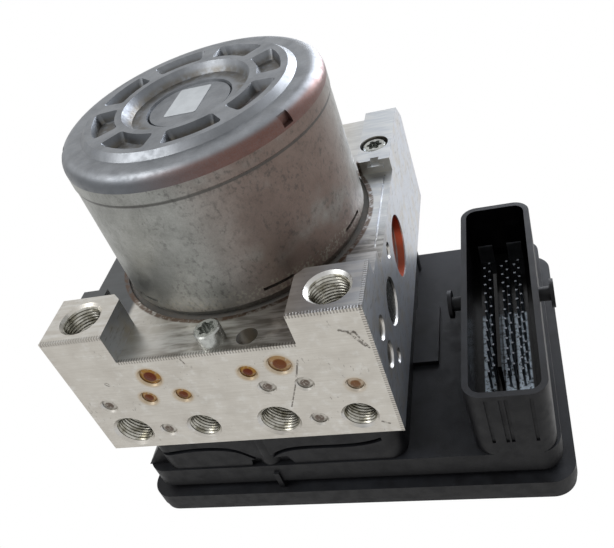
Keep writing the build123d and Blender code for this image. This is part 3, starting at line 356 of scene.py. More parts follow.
    def gloss(self, roughness: float, *masks: Socket, strength: float = 1.0) -> "Surface":
        """Changes the roughness where all the masks are 1."""
        sockets = {0: self.both(*masks, strength=strength), 2: self.roughness, 3: roughness}
        self.roughness = add(self.tree, "ShaderNodeMix", sockets).outputs[0]
        return self

    def emboss(self, height: float, mask: Socket) -> "Surface":
        """Raises the surface by a height in mm where the mask is 1."""
        raised = self.both(mask, strength=height)
        if self.height is not None:
            raised = add(self.tree, "ShaderNodeMath", {0: self.height, 1: raised}).outputs[0]
        self.height = raised
        return self

    def finished(self) -> bpy.types.Material:
        """Links the layers to the shader.

        Returns:
            The material.
        """
        sockets = {"Base Color": self.colour, "Roughness": self.roughness}
        if self.height is not None:
            bump = {"Height": self.height, "Distance": MM, "Strength": 1.0}
            sockets["Normal"] = add(self.tree, "ShaderNodeBump", bump).outputs[0]
        for name, value in sockets.items():
            if isinstance(value, Socket):
                self.tree.links.new(value, self.shader.inputs[name])
            else:
                self.shader.inputs[name].default_value = value
        return self.material


@dataclass(frozen=True)
class Spot:
    """A plug in the front face: its place and radius in mm, and how rusty it is from 0 to 1."""

    x: float
    drop: float
    radius: float
    rust: float


SMALL = 2.2
LARGE = 3.0
PLUG_SPOTS = (
    Spot(26.1, 16.6, LARGE, 1.0),
    Spot(63.9, 16.5, LARGE, 0.8),
    Spot(54.4, 18.3, SMALL, 1.0),
    Spot(21.9, 24.8, SMALL, 0.9),
    Spot(32.7, 24.7, SMALL, 0.9),
    Spot(81.4, 26.3, SMALL, 0.45),
)
# Depths behind the front face, in mm: the rest of a plug is deeper than the first, and its domed
# middle is less deep than the second
PLUG_REST, PLUG_DOME = 0.46, 0.36


@dataclass(frozen=True)
class Scratch:
    """A dark mark on the front face, from one place to another, with its width, in mm."""

    x: float
    drop: float
    x_end: float
    drop_end: float
    width: float


SCRATCHES = (
    Scratch(12.0, 17.6, 12.3, 17.9, 0.8),
    Scratch(69.2, 15.4, 66.6, 22.5, 0.32),
    Scratch(66.6, 22.5, 61.9, 32.9, 0.26),
    Scratch(38.0, 10.8, 38.9, 13.6, 0.3),
    Scratch(84.6, 7.6, 87.6, 12.6, 0.5),
    Scratch(86.0, 7.4, 88.4, 13.4, 0.35),
    Scratch(82.6, 6.6, 86.2, 7.8, 0.5),
    Scratch(84.8, 41.6, 86.6, 42.6, 0.4),
)


@dataclass(frozen=True)
class MilledAluminium:
    """Wrought aluminium, sawn and milled, then left bare: satin, with fine cutter lines and handling marks.

    The real cutter lines are finer than the render shows, so they are drawn 0.35 mm wide, and the teeth
    that the cutter left along the edges are drawn a little coarser than the real ones.

    Attributes:
        boss: Width and depth of the port bosses on the front corners, in mm.
        recess_drop: How far the motor's face lies below the bosses, in mm.
        shade_right: Distances from the left face where the painted shade on the recess floor starts and is
            full, in mm.
        shade_back: Distances from the front face where that painted shade has ended and is still full, in mm.
        shaded_low: Low corner of the dark patch beside the left boss, by x, y and drop in mm.
        shaded_high: Its high corner.
        pump_place: Distance of the pump bore from the front face and below the bosses, in mm.
        pump_mouth: Radius of that bore's mouth, in mm.
        foot_radius: Radius of the line of dirt round the motor's foot, in mm.
        tooth_pitch: Distance from tooth to tooth, in mm.
        tooth: How far the teeth reach from the edge, in mm.
    """

    colour: str = "#c4c0b8"
    shade: str = "#a49e95"
    scuff: str = "#5f5a54"
    pale_tone_and_sheen: str = "#dadad7"
    sky_sheen: str = "#b4bcc6"
    recess_shade: str = "#4f4b46"
    shadow: str = "#45494d"
    side_reflection: str = "#c3cbd8"
    halo: str = "#a58a5c"
    heat: str = "#bd5630"
    grime: str = "#5a4638"
    roughness: float = 0.33
    side_roughness: float = 0.4
    boss: tuple[float, float] = (19.3, 17.3)
    recess_drop: float = 9.6
    shade_right: tuple[float, float] = (24.0, 38.0)
    shade_back: tuple[float, float] = (48.0, 36.0)
    shaded_low: tuple[float, float, float] = (-1.0, 17.3, 30.0)
    shaded_high: tuple[float, float, float] = (15.0, 62.0, 4.0)
    pump_place: tuple[float, float] = (52.2, 24.2)
    pump_mouth: float = 9.5
    foot_radius: float = 40.3
    tooth_pitch: float = 0.8
    tooth: float = 0.9
    clouds: Blotches = Blotches(9.0, 0.35, 0.75, 4.0)
    pale_clouds: Blotches = Blotches(3.0, 0.5, 0.8, 3.0, shift=0.3)
    shade_blotches: Blotches = Blotches(6.0, 0.1, 0.5, 3.0)
    cutter_lines: Blotches = Blotches(0.35, 0.3, 0.7, 2.0, stretch=(30.0, 30.0, 1.0))
    swirl_sheen: Blotches = Blotches(1.0, 0.35, 0.7, 2.0, stretch=(9.0, 1.5, 1.0), shift=0.5)
    reflection_clouds: Blotches = Blotches(5.0, 0.2, 0.6, 3.0, shift=0.9)
    rubs: Blotches = Blotches(0.8, 0.55, 0.7, 3.0, stretch=(1.0, 5.0, 1.0), shift=0.8)
    broken: Blotches = Blotches(0.8, 0.35, 0.5, 2.0)
    nicks: Blotches = Blotches(0.5, 0.68, 0.74, 1.0, stretch=(1.0, 1.0, 3.0), shift=0.7)
    nicked_parts: Blotches = Blotches(12.0, 0.56, 0.66, 1.0, shift=0.2)
    dirt: Blotches = Blotches(1.6, 0.3, 0.55, 3.0)

    def toothed(self) -> list[tuple[Vector, Vector, Point]]:
        """Boxes round the edges that have teeth.

        Returns:
            Low corner, high corner and the direction of the edge, for each box.
        """
        width = (BLOCK_HIGH.x - BLOCK_LOW.x) / MM
        height = (BLOCK_HIGH.z - BLOCK_LOW.z) / MM
        size = self.tooth
        boss_width, boss_depth = self.boss
        right_boss = width - boss_width
        drop = self.recess_drop
        spans = [
            (0, boss_width, -size, size, -size, size, RIGHT),
            (boss_width, right_boss, -size, size, drop - size, drop + size, RIGHT),
            (right_boss, width, -size, size, -size, size, RIGHT),
            (width - size, width + size, -size, size, 0, height, UP),
            (width - size, width + size, 0, boss_depth, -size, size, BACK),
        ]
        return [(on_block(x0, y0, d1), on_block(x1, y1, d0), axis) for x0, x1, y0, y1, d0, d1, axis in spans]

    def machining(self, surface: Surface) -> None:
        """Lays the cutter's lines, pale swirls with a painted highlight on the faces that look up, the teeth
        on the edges, and the rubbed marks and a painted bluish reflection on the right face.

        Args:
            surface: The block's surface.
        """
        lines = surface.noise(self.cutter_lines)
        surface.lay(self.shade, lines, strength=0.22)
        surface.gloss(self.roughness + 0.14, lines, strength=0.6)
        surface.emboss(0.005, lines)
        # Painted highlight: pale cutter swirls on the faces that look up
        surface.lay(self.pale_tone_and_sheen, surface.noise(self.swirl_sheen), surface.facing(UP), strength=0.45)
        right = surface.facing(RIGHT, start=0.6)
        surface.gloss(self.side_roughness, right)
        # Painted bluish reflection in clouds on the faces that look right
        surface.lay(self.side_reflection, right, surface.noise(self.reflection_clouds), strength=0.7)
        surface.lay(self.scuff, right, surface.noise(self.rubs), strength=0.45)
        for low, high, axis in self.toothed():
            teeth = surface.both(surface.inside(low, high, 0.15), surface.stripes(axis, self.tooth_pitch))
            surface.lay(self.scuff, teeth, strength=0.6)
            surface.emboss(0.05, teeth)

    def sky_sheen_and_recess_shade(self, surface: Surface) -> None:
        """Lays a painted bluish sky reflection, and painted shade on the recess floor, on the faces that look
        up.

        Args:
            surface: The block's surface.
        """
        up = surface.facing(UP)
        # Painted bluish reflection of the sky on the faces that look up, from 18 mm right of the frame's
        # origin
        surface.lay(self.sky_sheen, up, surface.along(RIGHT, FRAME_ORIGIN, 0.0, 18.0), strength=0.8)
        # Painted shade on the recess floor in front of the motor, broken into blotches
        sunk = surface.along(UP, BLOCK_HIGH, -4.0, -6.0)
        middle = surface.along(RIGHT, BLOCK_LOW, *self.shade_right)
        ahead = surface.along(BACK, BLOCK_LOW, *self.shade_back)
        surface.lay(self.recess_shade, up, sunk, middle, ahead, surface.noise(self.shade_blotches), strength=0.8)

    def stains(self, surface: Surface) -> None:
        """Lays scratches, rust halos, the tinted pump bore and the dirt round the motor.

        Args:
            surface: The block's surface.
        """
        for mark in SCRATCHES:
            ends = on_block(mark.x, 0, mark.drop), on_block(mark.x_end, 0, mark.drop_end)
            stroke = surface.stroke(*ends, mark.width)
            surface.lay(self.scuff, stroke, surface.noise(self.broken), strength=0.85)
        surface.lay(self.scuff, surface.noise(self.nicks), surface.noise(self.nicked_parts), strength=0.5)
        # Rust has bled on to the face round the wet plugs
        across = (1.0, 0.3, 1.0)
        for spot in PLUG_SPOTS:
            bled = surface.near(on_block(spot.x, 0, spot.drop), spot.radius + 0.2, 1.3, across)
            surface.lay(self.halo, bled, strength=0.6 * spot.rust)
        # The wall of the pump bore is tinted by heat and old fluid near its mouth
        bore = surface.near(on_block(0, *self.pump_place), self.pump_mouth + 0.2, 0.1, FROM_CROSSWISE_AXIS)
        under_face = surface.along(RIGHT, BLOCK_HIGH, -0.3, -0.5)
        mouth = surface.along(RIGHT, BLOCK_HIGH, -2.9, -2.3)
        surface.lay(self.heat, bore, under_face, mouth, strength=0.9)
        # A thin brown line of dirt lies along the motor's foot
        foot = surface.near(MOTOR_AXIS, self.foot_radius, 0.5, FROM_UPRIGHT_AXIS)
        surface.lay(self.grime, foot, surface.noise(self.dirt), strength=0.85)

    def material(self) -> bpy.types.Material:
        """Builds the material of the block."""
        surface = Surface("milled_aluminium", self.colour, 1.0, self.roughness)
        surface.lay(self.shade, surface.noise(self.clouds), strength=0.45)
        surface.lay(self.pale_tone_and_sheen, surface.noise(self.pale_clouds), strength=0.5)
        self.sky_sheen_and_recess_shade(surface)
        self.machining(surface)
        corner = surface.inside(on_block(*self.shaded_low), on_block(*self.shaded_high), 2.0)
        surface.lay(self.shadow, surface.facing(UP), corner, strength=0.9)
        self.stains(surface)
        return surface.finished()


@dataclass(frozen=True)
class TappedAluminium:
    """The same aluminium where a tap has cut it: brighter crests, and olive fluid residue in the roots."""

    colour: str = "#bcbab2"
    residue: str = "#57523c"
    roughness: float = 0.26
    wet_parts: Blotches = Blotches(3.0, 0.35, 0.7, 2.0)

    def material(self) -> bpy.types.Material:
        """Builds the material of the threads."""
        surface = Surface("tapped_aluminium", self.colour, 1.0, self.roughness)
        surface.lay(self.residue, surface.noise(self.wet_parts), strength=0.8)
        return surface.finished()


@dataclass(frozen=True)
class ZincSheet:
    """Deep-drawn steel with a phosphated zinc coat: dull, cloudy, with dark specks, and on its front-right
    side a brown tarnish with painted dark reflection.

    The crystals of the coat are finer than the render shows, so their grain is drawn at 0.45 mm.

    Attributes:
        warm_side: Direction from the motor's axis in which the brown tarnish with its painted dark reflection,
            and the specks, lie.
        browned: Distances that way where that brown tarnish and painted dark reflection start and are full, in
            mm.
        specked: Distances that way where the specks start and are full, in mm.
        foot: Heights above the can's foot where the pale specks have ended and are full, in mm.
        seam: Depths below the cap where the dark line under it starts and is full, in mm.
    """

    colour: str = "#9c9d99"
    cloud: str = "#82837f"
    speck: str = "#4c4b49"
    brown_tint: str = "#75625a"
    pale: str = "#a8a69a"
    roughness: float = 0.46
    warm_side: tuple[float, float, float] = (0.80, -0.60, 0.0)
    browned: tuple[float, float] = (23.0, 38.0)
    specked: tuple[float, float] = (-20.0, 25.0)
    foot: tuple[float, float] = (8.0, 6.0)
    seam: tuple[float, float] = (0.6, 0.3)
    clouds: Blotches = Blotches(11.0, 0.35, 0.68, 5.0)
    brown_clouds: Blotches = Blotches(14.0, 0.1, 0.5, 3.0, shift=0.4)
    specks: Blotches = Blotches(1.1, 0.48, 0.68, 6.0, stretch=(1.0, 1.0, 1.3))
    specked_parts: Blotches = Blotches(9.0, 0.3, 0.6, 2.0, shift=0.6)
    pale_specks: Blotches = Blotches(0.9, 0.5, 0.62, 2.0)
    grain: Blotches = Blotches(0.45, 0.3, 0.7, 3.0)
    dull_parts: Blotches = Blotches(5.0, 0.4, 0.7, 4.0, shift=0.1)
    waves: Blotches = Blotches(6.0, 0.2, 0.8, 2.0)

    def material(self) -> bpy.types.Material:
        """Builds the material of the can."""
        surface = Surface("phosphated_zinc_sheet", self.colour, 1.0, self.roughness)
        surface.lay(self.cloud, surface.noise(self.clouds), strength=0.7)
        # Brown tarnish with painted dark reflection on the can's front-right side
        side = surface.along(self.warm_side, MOTOR_AXIS, *self.browned)
        surface.lay(self.brown_tint, side, surface.noise(self.brown_clouds), strength=0.85)
        worn = surface.along(self.warm_side, MOTOR_AXIS, *self.specked)
        specks = surface.noise(self.specks), worn, surface.noise(self.specked_parts)
        surface.lay(self.speck, *specks, strength=0.55)
        foot = surface.along(UP, CAN_LOW, *self.foot)
        surface.lay(self.pale, foot, surface.noise(self.pale_specks), strength=0.5)
        lip = surface.inside(CAN_LOW, (CAN_HIGH.x, CAN_HIGH.y, CAP_LOW.z + 0.2 * MM), 0.1)
        start, end = self.seam
        surface.lay(self.speck, lip, surface.along(UP, CAP_LOW, -start, -end), strength=0.8)
        grain = surface.noise(self.grain)
        surface.lay(self.speck, grain, strength=0.18)
        surface.gloss(self.roughness + 0.12, surface.noise(self.dull_parts))
        surface.emboss(0.012, grain)
        surface.emboss(0.03, surface.noise(self.waves))
        return surface.finished()


@dataclass(frozen=True)
class PressedSteel:
    """Pressed sheet steel with a thin zinc coat: smooth on the ridges, brown dirt in the pockets, and painted
    shade on the sloped faces away from the lit side.

    Its grain is finer than the render shows, so it is drawn at 0.4 mm.

    Attributes:
        pocket_depth: Depths below the cap's top where the dirt starts and is full, in mm.
        pocket_radius: Radius inside which the dirt lies, in mm.
        disc_radius: Radius of the clean disc in the middle, in mm.
        lit_side: Direction from the motor's axis in which the sloped faces turn paler.
        paler: Distances that way where they are pale and where they are darkest, in mm.
        warm_side: Direction from the motor's axis in which the tarnish lies.
        browned: Distances that way where the tarnish starts and is full, in mm.
        shoulder_depth: Depths below the cap's top where the tarnish starts and is full, in mm.
    """

    colour: str = "#8a8d91"
    cloud: str = "#6c6f73"
    flank_shade: str = "#55585c"
    dirt: str = "#5d5649"
    brown_tint: str = "#6b4a40"
    roughness: float = 0.4
    pocket_depth: tuple[float, float] = (0.9, 2.4)
    pocket_radius: float = 30.0
    disc_radius: float = 13.0
    lit_side: tuple[float, float, float] = (0.5, 0.86, 0.0)
    paler: tuple[float, float] = (20.0, -10.0)
    warm_side: tuple[float, float, float] = (0.86, -0.50, 0.0)
    browned: tuple[float, float] = (12.0, 36.0)
    shoulder_depth: tuple[float, float] = (1.9, 3.2)
    clouds: Blotches = Blotches(7.0, 0.35, 0.7, 5.0)
    dirt_clouds: Blotches = Blotches(2.2, 0.25, 0.6, 3.0)
    grain: Blotches = Blotches(0.4, 0.3, 0.7, 2.0)
    dull_parts: Blotches = Blotches(3.0, 0.4, 0.7, 3.0)

    def material(self) -> bpy.types.Material:
        """Builds the material of the end cap."""
        surface = Surface("pressed_zinc_steel", self.colour, 1.0, self.roughness)
        surface.lay(self.cloud, surface.noise(self.clouds), strength=0.7)
        # Painted shade: the sloped faces turn darker away from the lit side
        sloped = surface.outside(surface.facing(UP, start=0.55, end=0.97))
        darker = surface.along(self.lit_side, MOTOR_AXIS, *self.paler)
        surface.lay(self.flank_shade, sloped, darker, strength=0.8)
        start, end = self.pocket_depth
        deep = surface.along(UP, CAP_HIGH, -start, -end)
        inner = surface.near(MOTOR_AXIS, self.pocket_radius, 1.5, FROM_UPRIGHT_AXIS)
        rim = surface.outside(surface.near(MOTOR_AXIS, self.disc_radius, 2.0, FROM_UPRIGHT_AXIS))
        surface.lay(self.dirt, deep, inner, rim, surface.noise(self.dirt_clouds), strength=0.7)
        side = surface.along(self.warm_side, MOTOR_AXIS, *self.browned)
        start, end = self.shoulder_depth
        surface.lay(self.brown_tint, side, surface.along(UP, CAP_HIGH, -start, -end), strength=0.85)
        grain = surface.noise(self.grain)
        surface.lay(self.cloud, grain, strength=0.2)
        surface.gloss(self.roughness + 0.14, surface.noise(self.dull_parts))
        surface.emboss(0.006, grain)
        return surface.finished()


@dataclass(frozen=True)
class MouldedPlastic:
    """Glass-filled polyester, injection moulded: near black, with a fine spark-eroded grain and dust, a
    painted bluish sheen on its tops and painted shade inside the shroud.

    The grain of the tool is finer than the render shows, so it is drawn at 0.32 mm.

    Attributes:
        mirror: How strongly it mirrors its surroundings.
        sheen_back: Distances behind the frame's origin where the painted bluish sheen on the top faces starts
            and is full, in mm.
        shroud_wall: How far the polished inside of the shroud, with its painted shade, reaches past the pin
            carrier, in mm.
    """

    name: str
    colour: str = "#0c0c0e"
    dust: str = "#202226"
    roughness: float = 0.42
    top_sheen: str = "#37393e"
    polished_and_shaded: str = "#050506"
    polished_roughness: float = 0.2
    mirror: float = 0.18
    sheen_back: tuple[float, float] = (5.0, 50.0)
    shroud_wall: float = 2.5
    dusty_parts: Blotches = Blotches(14.0, 0.25, 0.7, 3.0)
    specks: Blotches = Blotches(0.9, 0.62, 0.7, 2.0)
    dull_parts: Blotches = Blotches(4.0, 0.35, 0.7, 3.0)
    grain: Blotches = Blotches(0.32, 0.3, 0.7, 2.0)

    def material(self) -> bpy.types.Material:
        """Builds the material of a moulding."""
        surface = Surface(self.name, self.colour, 0.0, self.roughness).dull(self.mirror)
        top = surface.facing(UP, start=0.6, end=0.95)
        surface.lay(self.dust, top, surface.noise(self.dusty_parts), strength=0.7)
        # Painted bluish sheen on the top faces, stronger towards the back
        surface.lay(self.top_sheen, top, surface.along(BACK, FRAME_ORIGIN, *self.sheen_back), strength=0.8)
        surface.lay(self.dust, surface.noise(self.specks), strength=0.35)
        surface.gloss(self.roughness + 0.14, surface.noise(self.dull_parts))
        # The inside of the connector shroud is polished, up to just below its rim, and painted darker there as
        # painted shade in its hollow
        margin = Vector((self.shroud_wall, self.shroud_wall, 0)) * MM
        high = CARRIER_HIGH + margin
        socket = surface.inside(CARRIER_LOW - margin, (high.x, high.y, UNIT_TOP - 0.4 * MM), 0.3)
        surface.lay(self.polished_and_shaded, socket)
        surface.gloss(self.polished_roughness, socket)
        surface.emboss(0.01, surface.noise(self.grain))
        return surface.finished()


@dataclass(frozen=True)
class CarrierPlastic:
    """Glossy black nylon of the pin carrier, moulded: a painted pale bluish reflection lies in bands along the
    pin rows.

    Attributes:
        bands: Place of each band right of the carrier's middle, and its width, in mm.
        band_back: How far back from the carrier's front the bands reach, in mm.
    """

    colour: str = "#060607"
    pale_tone_and_sheen: str = "#d3e3f2"
    roughness: float = 0.16
    mirror: float = 0.2
    bands: tuple[tuple[float, float], ...] = ((-5.4, 2.6), (0.2, 2.2), (4.4, 3.2))
    band_back: float = 31.0
    reflection_spots: Blotches = Blotches(1.1, 0.33, 0.52, 3.0)

    def material(self) -> bpy.types.Material:
        """Builds the material of the carrier."""
        surface = Surface("glossy_black_nylon", self.colour, 0.0, self.roughness).dull(self.mirror)
        middle = (CARRIER_LOW + CARRIER_HIGH) / 2
        front = surface.along(BACK, CARRIER_LOW, self.band_back + 1.2, self.band_back)
        spots = surface.noise(self.reflection_spots)
        # Painted pale bluish reflection in broken bands along the pin rows, at the front
        for x, width in self.bands:
            band = surface.near(middle + Vector((x * MM, 0, 0)), width / 2, 0.5, RIGHT)
            surface.lay(self.pale_tone_and_sheen, band, front, spots, strength=0.85)
        return surface.finished()


@dataclass(frozen=True)
class PlugSteel:
    """Hardened steel plugs pressed flush: grey and worn bright, or rusted where water stood."""

    colour: str = "#b3afa7"
    dark: str = "#7d7870"
    dimple: str = "#4a3a30"
    rust: str = "#8f6a34"
    crust: str = "#5a2b1c"
    roughness: float = 0.34
    clouds: Blotches = Blotches(1.6, 0.4, 0.65, 3.0)
    dirt: Blotches = Blotches(0.7, 0.25, 0.5, 2.0)
    rust_clouds: Blotches = Blotches(0.9, 0.1, 0.5, 2.0)
    pits: Blotches = Blotches(0.5, 0.3, 0.7, 3.0)

    def material(self) -> bpy.types.Material:
        """Builds the material of the plugs."""
        surface = Surface("plug_steel", self.colour, 1.0, self.roughness)
        surface.lay(self.dark, surface.noise(self.clouds), strength=0.6)
        middle = surface.along(BACK, BLOCK_LOW, PLUG_REST, PLUG_DOME)
        surface.lay(self.dimple, middle, surface.noise(self.dirt), strength=0.85)
        for spot in PLUG_SPOTS:
            here = surface.near(on_block(spot.x, 1.0, spot.drop), spot.radius + 0.4, 0.2)
            surface.lay(self.rust, here, surface.noise(self.rust_clouds), strength=spot.rust)
            surface.lay(self.crust, here, middle, strength=spot.rust)
        surface.emboss(0.03, surface.noise(self.pits))
        return surface.finished()


@dataclass(frozen=True)
class PlainFinish:
    """A finish with one cloudy tone over its clean colour.

    Attributes:
        name: Material name.
        colour: Clean colour.
        cloud: Colour of the clouding.
        metallic: 1 for bare metal.
        roughness: Roughness where it is clean.
        size: Width of a cloud, in mm.
        strength: How strong the clouding is.
        worn: How much rougher it is where it is worn.
    """

    name: str
    colour: str
    cloud: str
    metallic: float
    roughness: float
    size: float = 2.5
    strength: float = 0.6
    worn: float = 0.12

    def material(self) -> bpy.types.Material:
        """Builds the material."""
        surface = Surface(self.name, self.colour, self.metallic, self.roughness)
        surface.lay(self.cloud, surface.noise(Blotches(self.size, 0.35, 0.7, 4.0)), strength=self.strength)
        worn = surface.noise(Blotches(self.size * 0.6, 0.4, 0.7, 3.0, shift=0.2))
        surface.gloss(self.roughness + self.worn, worn)
        surface.emboss(0.006, surface.noise(Blotches(self.size * 0.2, 0.3, 0.7, 2.0)))
        return surface.finished()


SIDES = ("right", "left")


class Slot(Enum):
    """A material slot of the record."""

    BLOCK = "machined_aluminium"


class Finish(Protocol):
    """Anything that can build a material."""

    def material(self) -> bpy.types.Material:
        """Builds the material."""


def dress(names: Iterable[str], finish: Finish) -> list[str]:
    """Gives the model's own nodes a finish.

    Args:
        names: Node names.
        finish: Their finish.

    Returns:
        The names.
    """
    dressed = list(names)
    material = finish.material()
    for name in dressed:
        mesh = frame["nodes"][name].data
        mesh.materials.clear()
        mesh.materials.append(material)
        for polygon in mesh.polygons:
            polygon.material_index = 0
    return dressed


def piece(
    name: str,
    vertices: Sequence[Vector],
    faces: Sequence[Sequence[int]],
    material: bpy.types.Material,
) -> bpy.types.Object:
    """Makes a smooth mesh piece that rides on the root body.

    Args:
        name: Name of the piece.
        vertices: Its points, in the frame.
        faces: Its faces, as numbers of points.
        material: Its material.

    Returns:
        The new object.
    """
    mesh = bpy.data.meshes.new(name)
    mesh.from_pydata([tuple(vertex) for vertex in vertices], [], faces)
    mesh.validate()
    for polygon in mesh.polygons:
        polygon.use_smooth = True
    mesh.materials.append(material)
    made = bpy.data.objects.new(name, mesh)
    bpy.context.scene.collection.objects.link(made)
    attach(made, "root")
    return made


@dataclass
class Hydraulics:
    """The drilled block with its plugs, caps, threads and inner pieces.

    Attributes:
        pitch: Thread pitch of the ports, in mm.
        crest: Height of a thread above its root, in mm.
        crest_half_width: Half the width of a crest, as a share of the pitch.
        sunk: How far a thread's root lies inside the wall of its bore, in mm.
        steps: Points round one turn of a thread.
    """

    pitch: float = 1.0
    crest: float = 0.5
    crest_half_width: float = 0.06
    sunk: float = 0.01
    steps: int = 40

    def thread(self, mount: dict, material: bpy.types.Material) -> bpy.types.Object:
        """Makes the thread ridge of one port.

        Args:
            mount: The port's mount in the record.
            material: Material of the thread.

        Returns:
            The thread.
        """
        axis = Vector(mount["axis"])
        side = axis.orthogonal().normalized()
        turns_to = Matrix((side, axis.cross(side), axis)).transposed()
        length = mount["dims"]["length_mm"]
        root = mount["dims"]["r_mm"] + self.sunk
        centre = Vector(mount["pos_m"])
        height = self.crest + self.sunk
        # Height above the root and place along the axis, in pitches, of the ridge's four corners
        half = self.crest_half_width
        profile = ((0.0, -0.5), (height, -half), (height, half), (0.0, 0.5))
        vertices, faces = [], []
        count = int(length / self.pitch) * self.steps
        for i in range(count + 1):
            angle = 2 * math.pi * i / self.steps
            rise = (i / self.steps + 0.5) * self.pitch - length / 2
            # The ridge grows over its first turn and fades over its last
            fade = min(1.0, i / self.steps, (count - i) / self.steps)
            for above_root, place in profile:
                radius = root - above_root * fade
                depth = min(rise + place * self.pitch, length / 2)
                local = Vector((radius * math.cos(angle), radius * math.sin(angle), depth))
                vertices.append(centre + turns_to @ (local * MM))
        corners = len(profile)
        for i in range(count):
            for j in range(corners - 1):
                first = i * corners + j
                faces.append((first, first + corners, first + corners + 1, first + 1))
        return piece(f"thread_{mount['name']}", vertices, faces, material)

    def build(self) -> list[str]:
        """Dresses the nodes and adds the threads.

        Returns:
            Names of the pieces.
        """
        pieces = dress(["valve_block"], MilledAluminium())
        pieces += dress(["small_plugs", "large_plugs", "side_plugs"], PlugSteel())
        # Turned steel: a dull grey disc with a soft highlight
        caps = PlainFinish("turned_steel_cap", "#8b8b8d", "#5e5c5c", 1.0, 0.3)
        pieces += dress((f"pump_cap_{side}" for side in SIDES), caps)
        # Hard anodised aluminium: an olive black disc that still gleams like metal
        caps = PlainFinish("dark_anodised_cap", "#3d4039", "#2b2d28", 1.0, 0.24, 3.0)
        pieces += dress((f"accumulator_cap_{side}" for side in SIDES), caps)
        # Ground steel: bright and even, with sharp reflections
        pump = PlainFinish("ground_steel", "#9a9a9b", "#7d7d7f", 1.0, 0.22)
        pieces += dress((f"pump_{part}_{side}" for part in ("sleeve", "piston") for side in SIDES), pump)
        # Drawn spring wire: darker, with a thin bright line along each coil
        wire = PlainFinish("spring_wire", "#77777a", "#55555a", 1.0, 0.32)
        pieces += dress((f"{user}_spring_{side}" for user in ("pump", "accumulator") for side in SIDES), wire)
        # Clear anodised aluminium: pale grey and satin
        piston = PlainFinish("anodised_aluminium", "#8c8f92", "#74777a", 1.0, 0.35)
        pieces += dress((f"accumulator_piston_{side}" for side in SIDES), piston)
        # Turned magnetic stainless: warm grey and bright
        valve = PlainFinish("magnetic_stainless", "#93938f", "#77777a", 1.0, 0.26)
        parts = ["valve_bodies"] + [f"armature_{i}" for i in range(1, 5)]
        pieces += dress((f"{kind}_{part}" for kind in ("inlet", "outlet") for part in parts), valve)
        # Cured silicone: a matt black line
        gasket = PlainFinish("silicone_gasket", "#26272a", "#1b1c1e", 0.0, 0.7)
        pieces += dress(["housing_gasket"], gasket)
        tapped = TappedAluminium().material()
        for mount in frame["record"]["mounts"]:
            if mount["kind"] == "threaded_hole":
                pieces.append(self.thread(mount, tapped).name)
        return pieces


@dataclass
class Motor:
    """The pump motor: can, end cap, label and everything inside.

    Attributes:
        label_colour: Colour of the bare label.
    """

    label_colour: str = "#a6aaad"

    def outside(self) -> list[str]:
        """Dresses what shows of the motor.

        Returns:
            Names of the pieces.
        """
        pieces = dress(["motor_can"], ZincSheet())
        pieces += dress(["motor_end_cap"], PressedSteel())
        # Coated paper: a flat pale patch that is slightly grey with handling
        label = PlainFinish("coated_paper", self.label_colour, "#94989b", 0.0, 0.45, 4.0, 0.5)
        pieces += dress(["cap_label"], label)
        # Moulded nitrile rubber: a dull dark ring, brown with dust
        seal = PlainFinish("nitrile_rubber", "#4a4946", "#5a5148", 0.0, 0.6)
        pieces += dress(["motor_seal_ring"], seal)
        return pieces

    def inside(self) -> list[str]:
        """Dresses what the can holds.

        Returns:
            Names of the pieces.
        """
        # Sintered ferrite: charcoal and chalky
        magnets = PlainFinish("sintered_ferrite", "#2c2c2e", "#3a3a3c", 0.0, 0.7)
        pieces = dress(["motor_magnets"], magnets)
        # Pressed phenolic: deep brown with a slight shine
        plate = PlainFinish("phenolic_moulding", "#3a2a22", "#2c211c", 0.0, 0.5)
        pieces += dress(["brush_plate"], plate)
        # Pressed carbon and graphite: black and matt
        brushes = PlainFinish("carbon_graphite", "#252527", "#19191b", 0.0, 0.6)
        pieces += dress(["motor_brushes"], brushes)
        # Hardened and ground bearing steel: nearly a mirror
        steel = PlainFinish("bearing_steel", "#9b9b9c", "#808183", 1.0, 0.2)
        pieces += dress(["armature_shaft", "cam_ring", "upper_bearing", "lower_bearing"], steel)
        # Sintered bronze: dull gold, damp with oil
        bush = PlainFinish("sintered_bronze", "#96703f", "#7b5a32", 1.0, 0.4)
        pieces += dress(["pilot_bush"], bush)
        # Punched silicon steel: dark grey, with a soft sheen
        core = PlainFinish("silicon_steel_laminations", "#5b5c60", "#47484c", 1.0, 0.4)
        pieces += dress(["armature_core"], core)
        # Enamelled copper: a warm red metal under clear varnish
        copper = PlainFinish("enamelled_copper", "#a3562b", "#82411f", 1.0, 0.3)
        pieces += dress(["armature_windings", "commutator", "motor_leads"], copper)
        return pieces

    def build(self) -> list[str]:
        """Dresses the motor, outside and inside."""
        return self.outside() + self.inside()


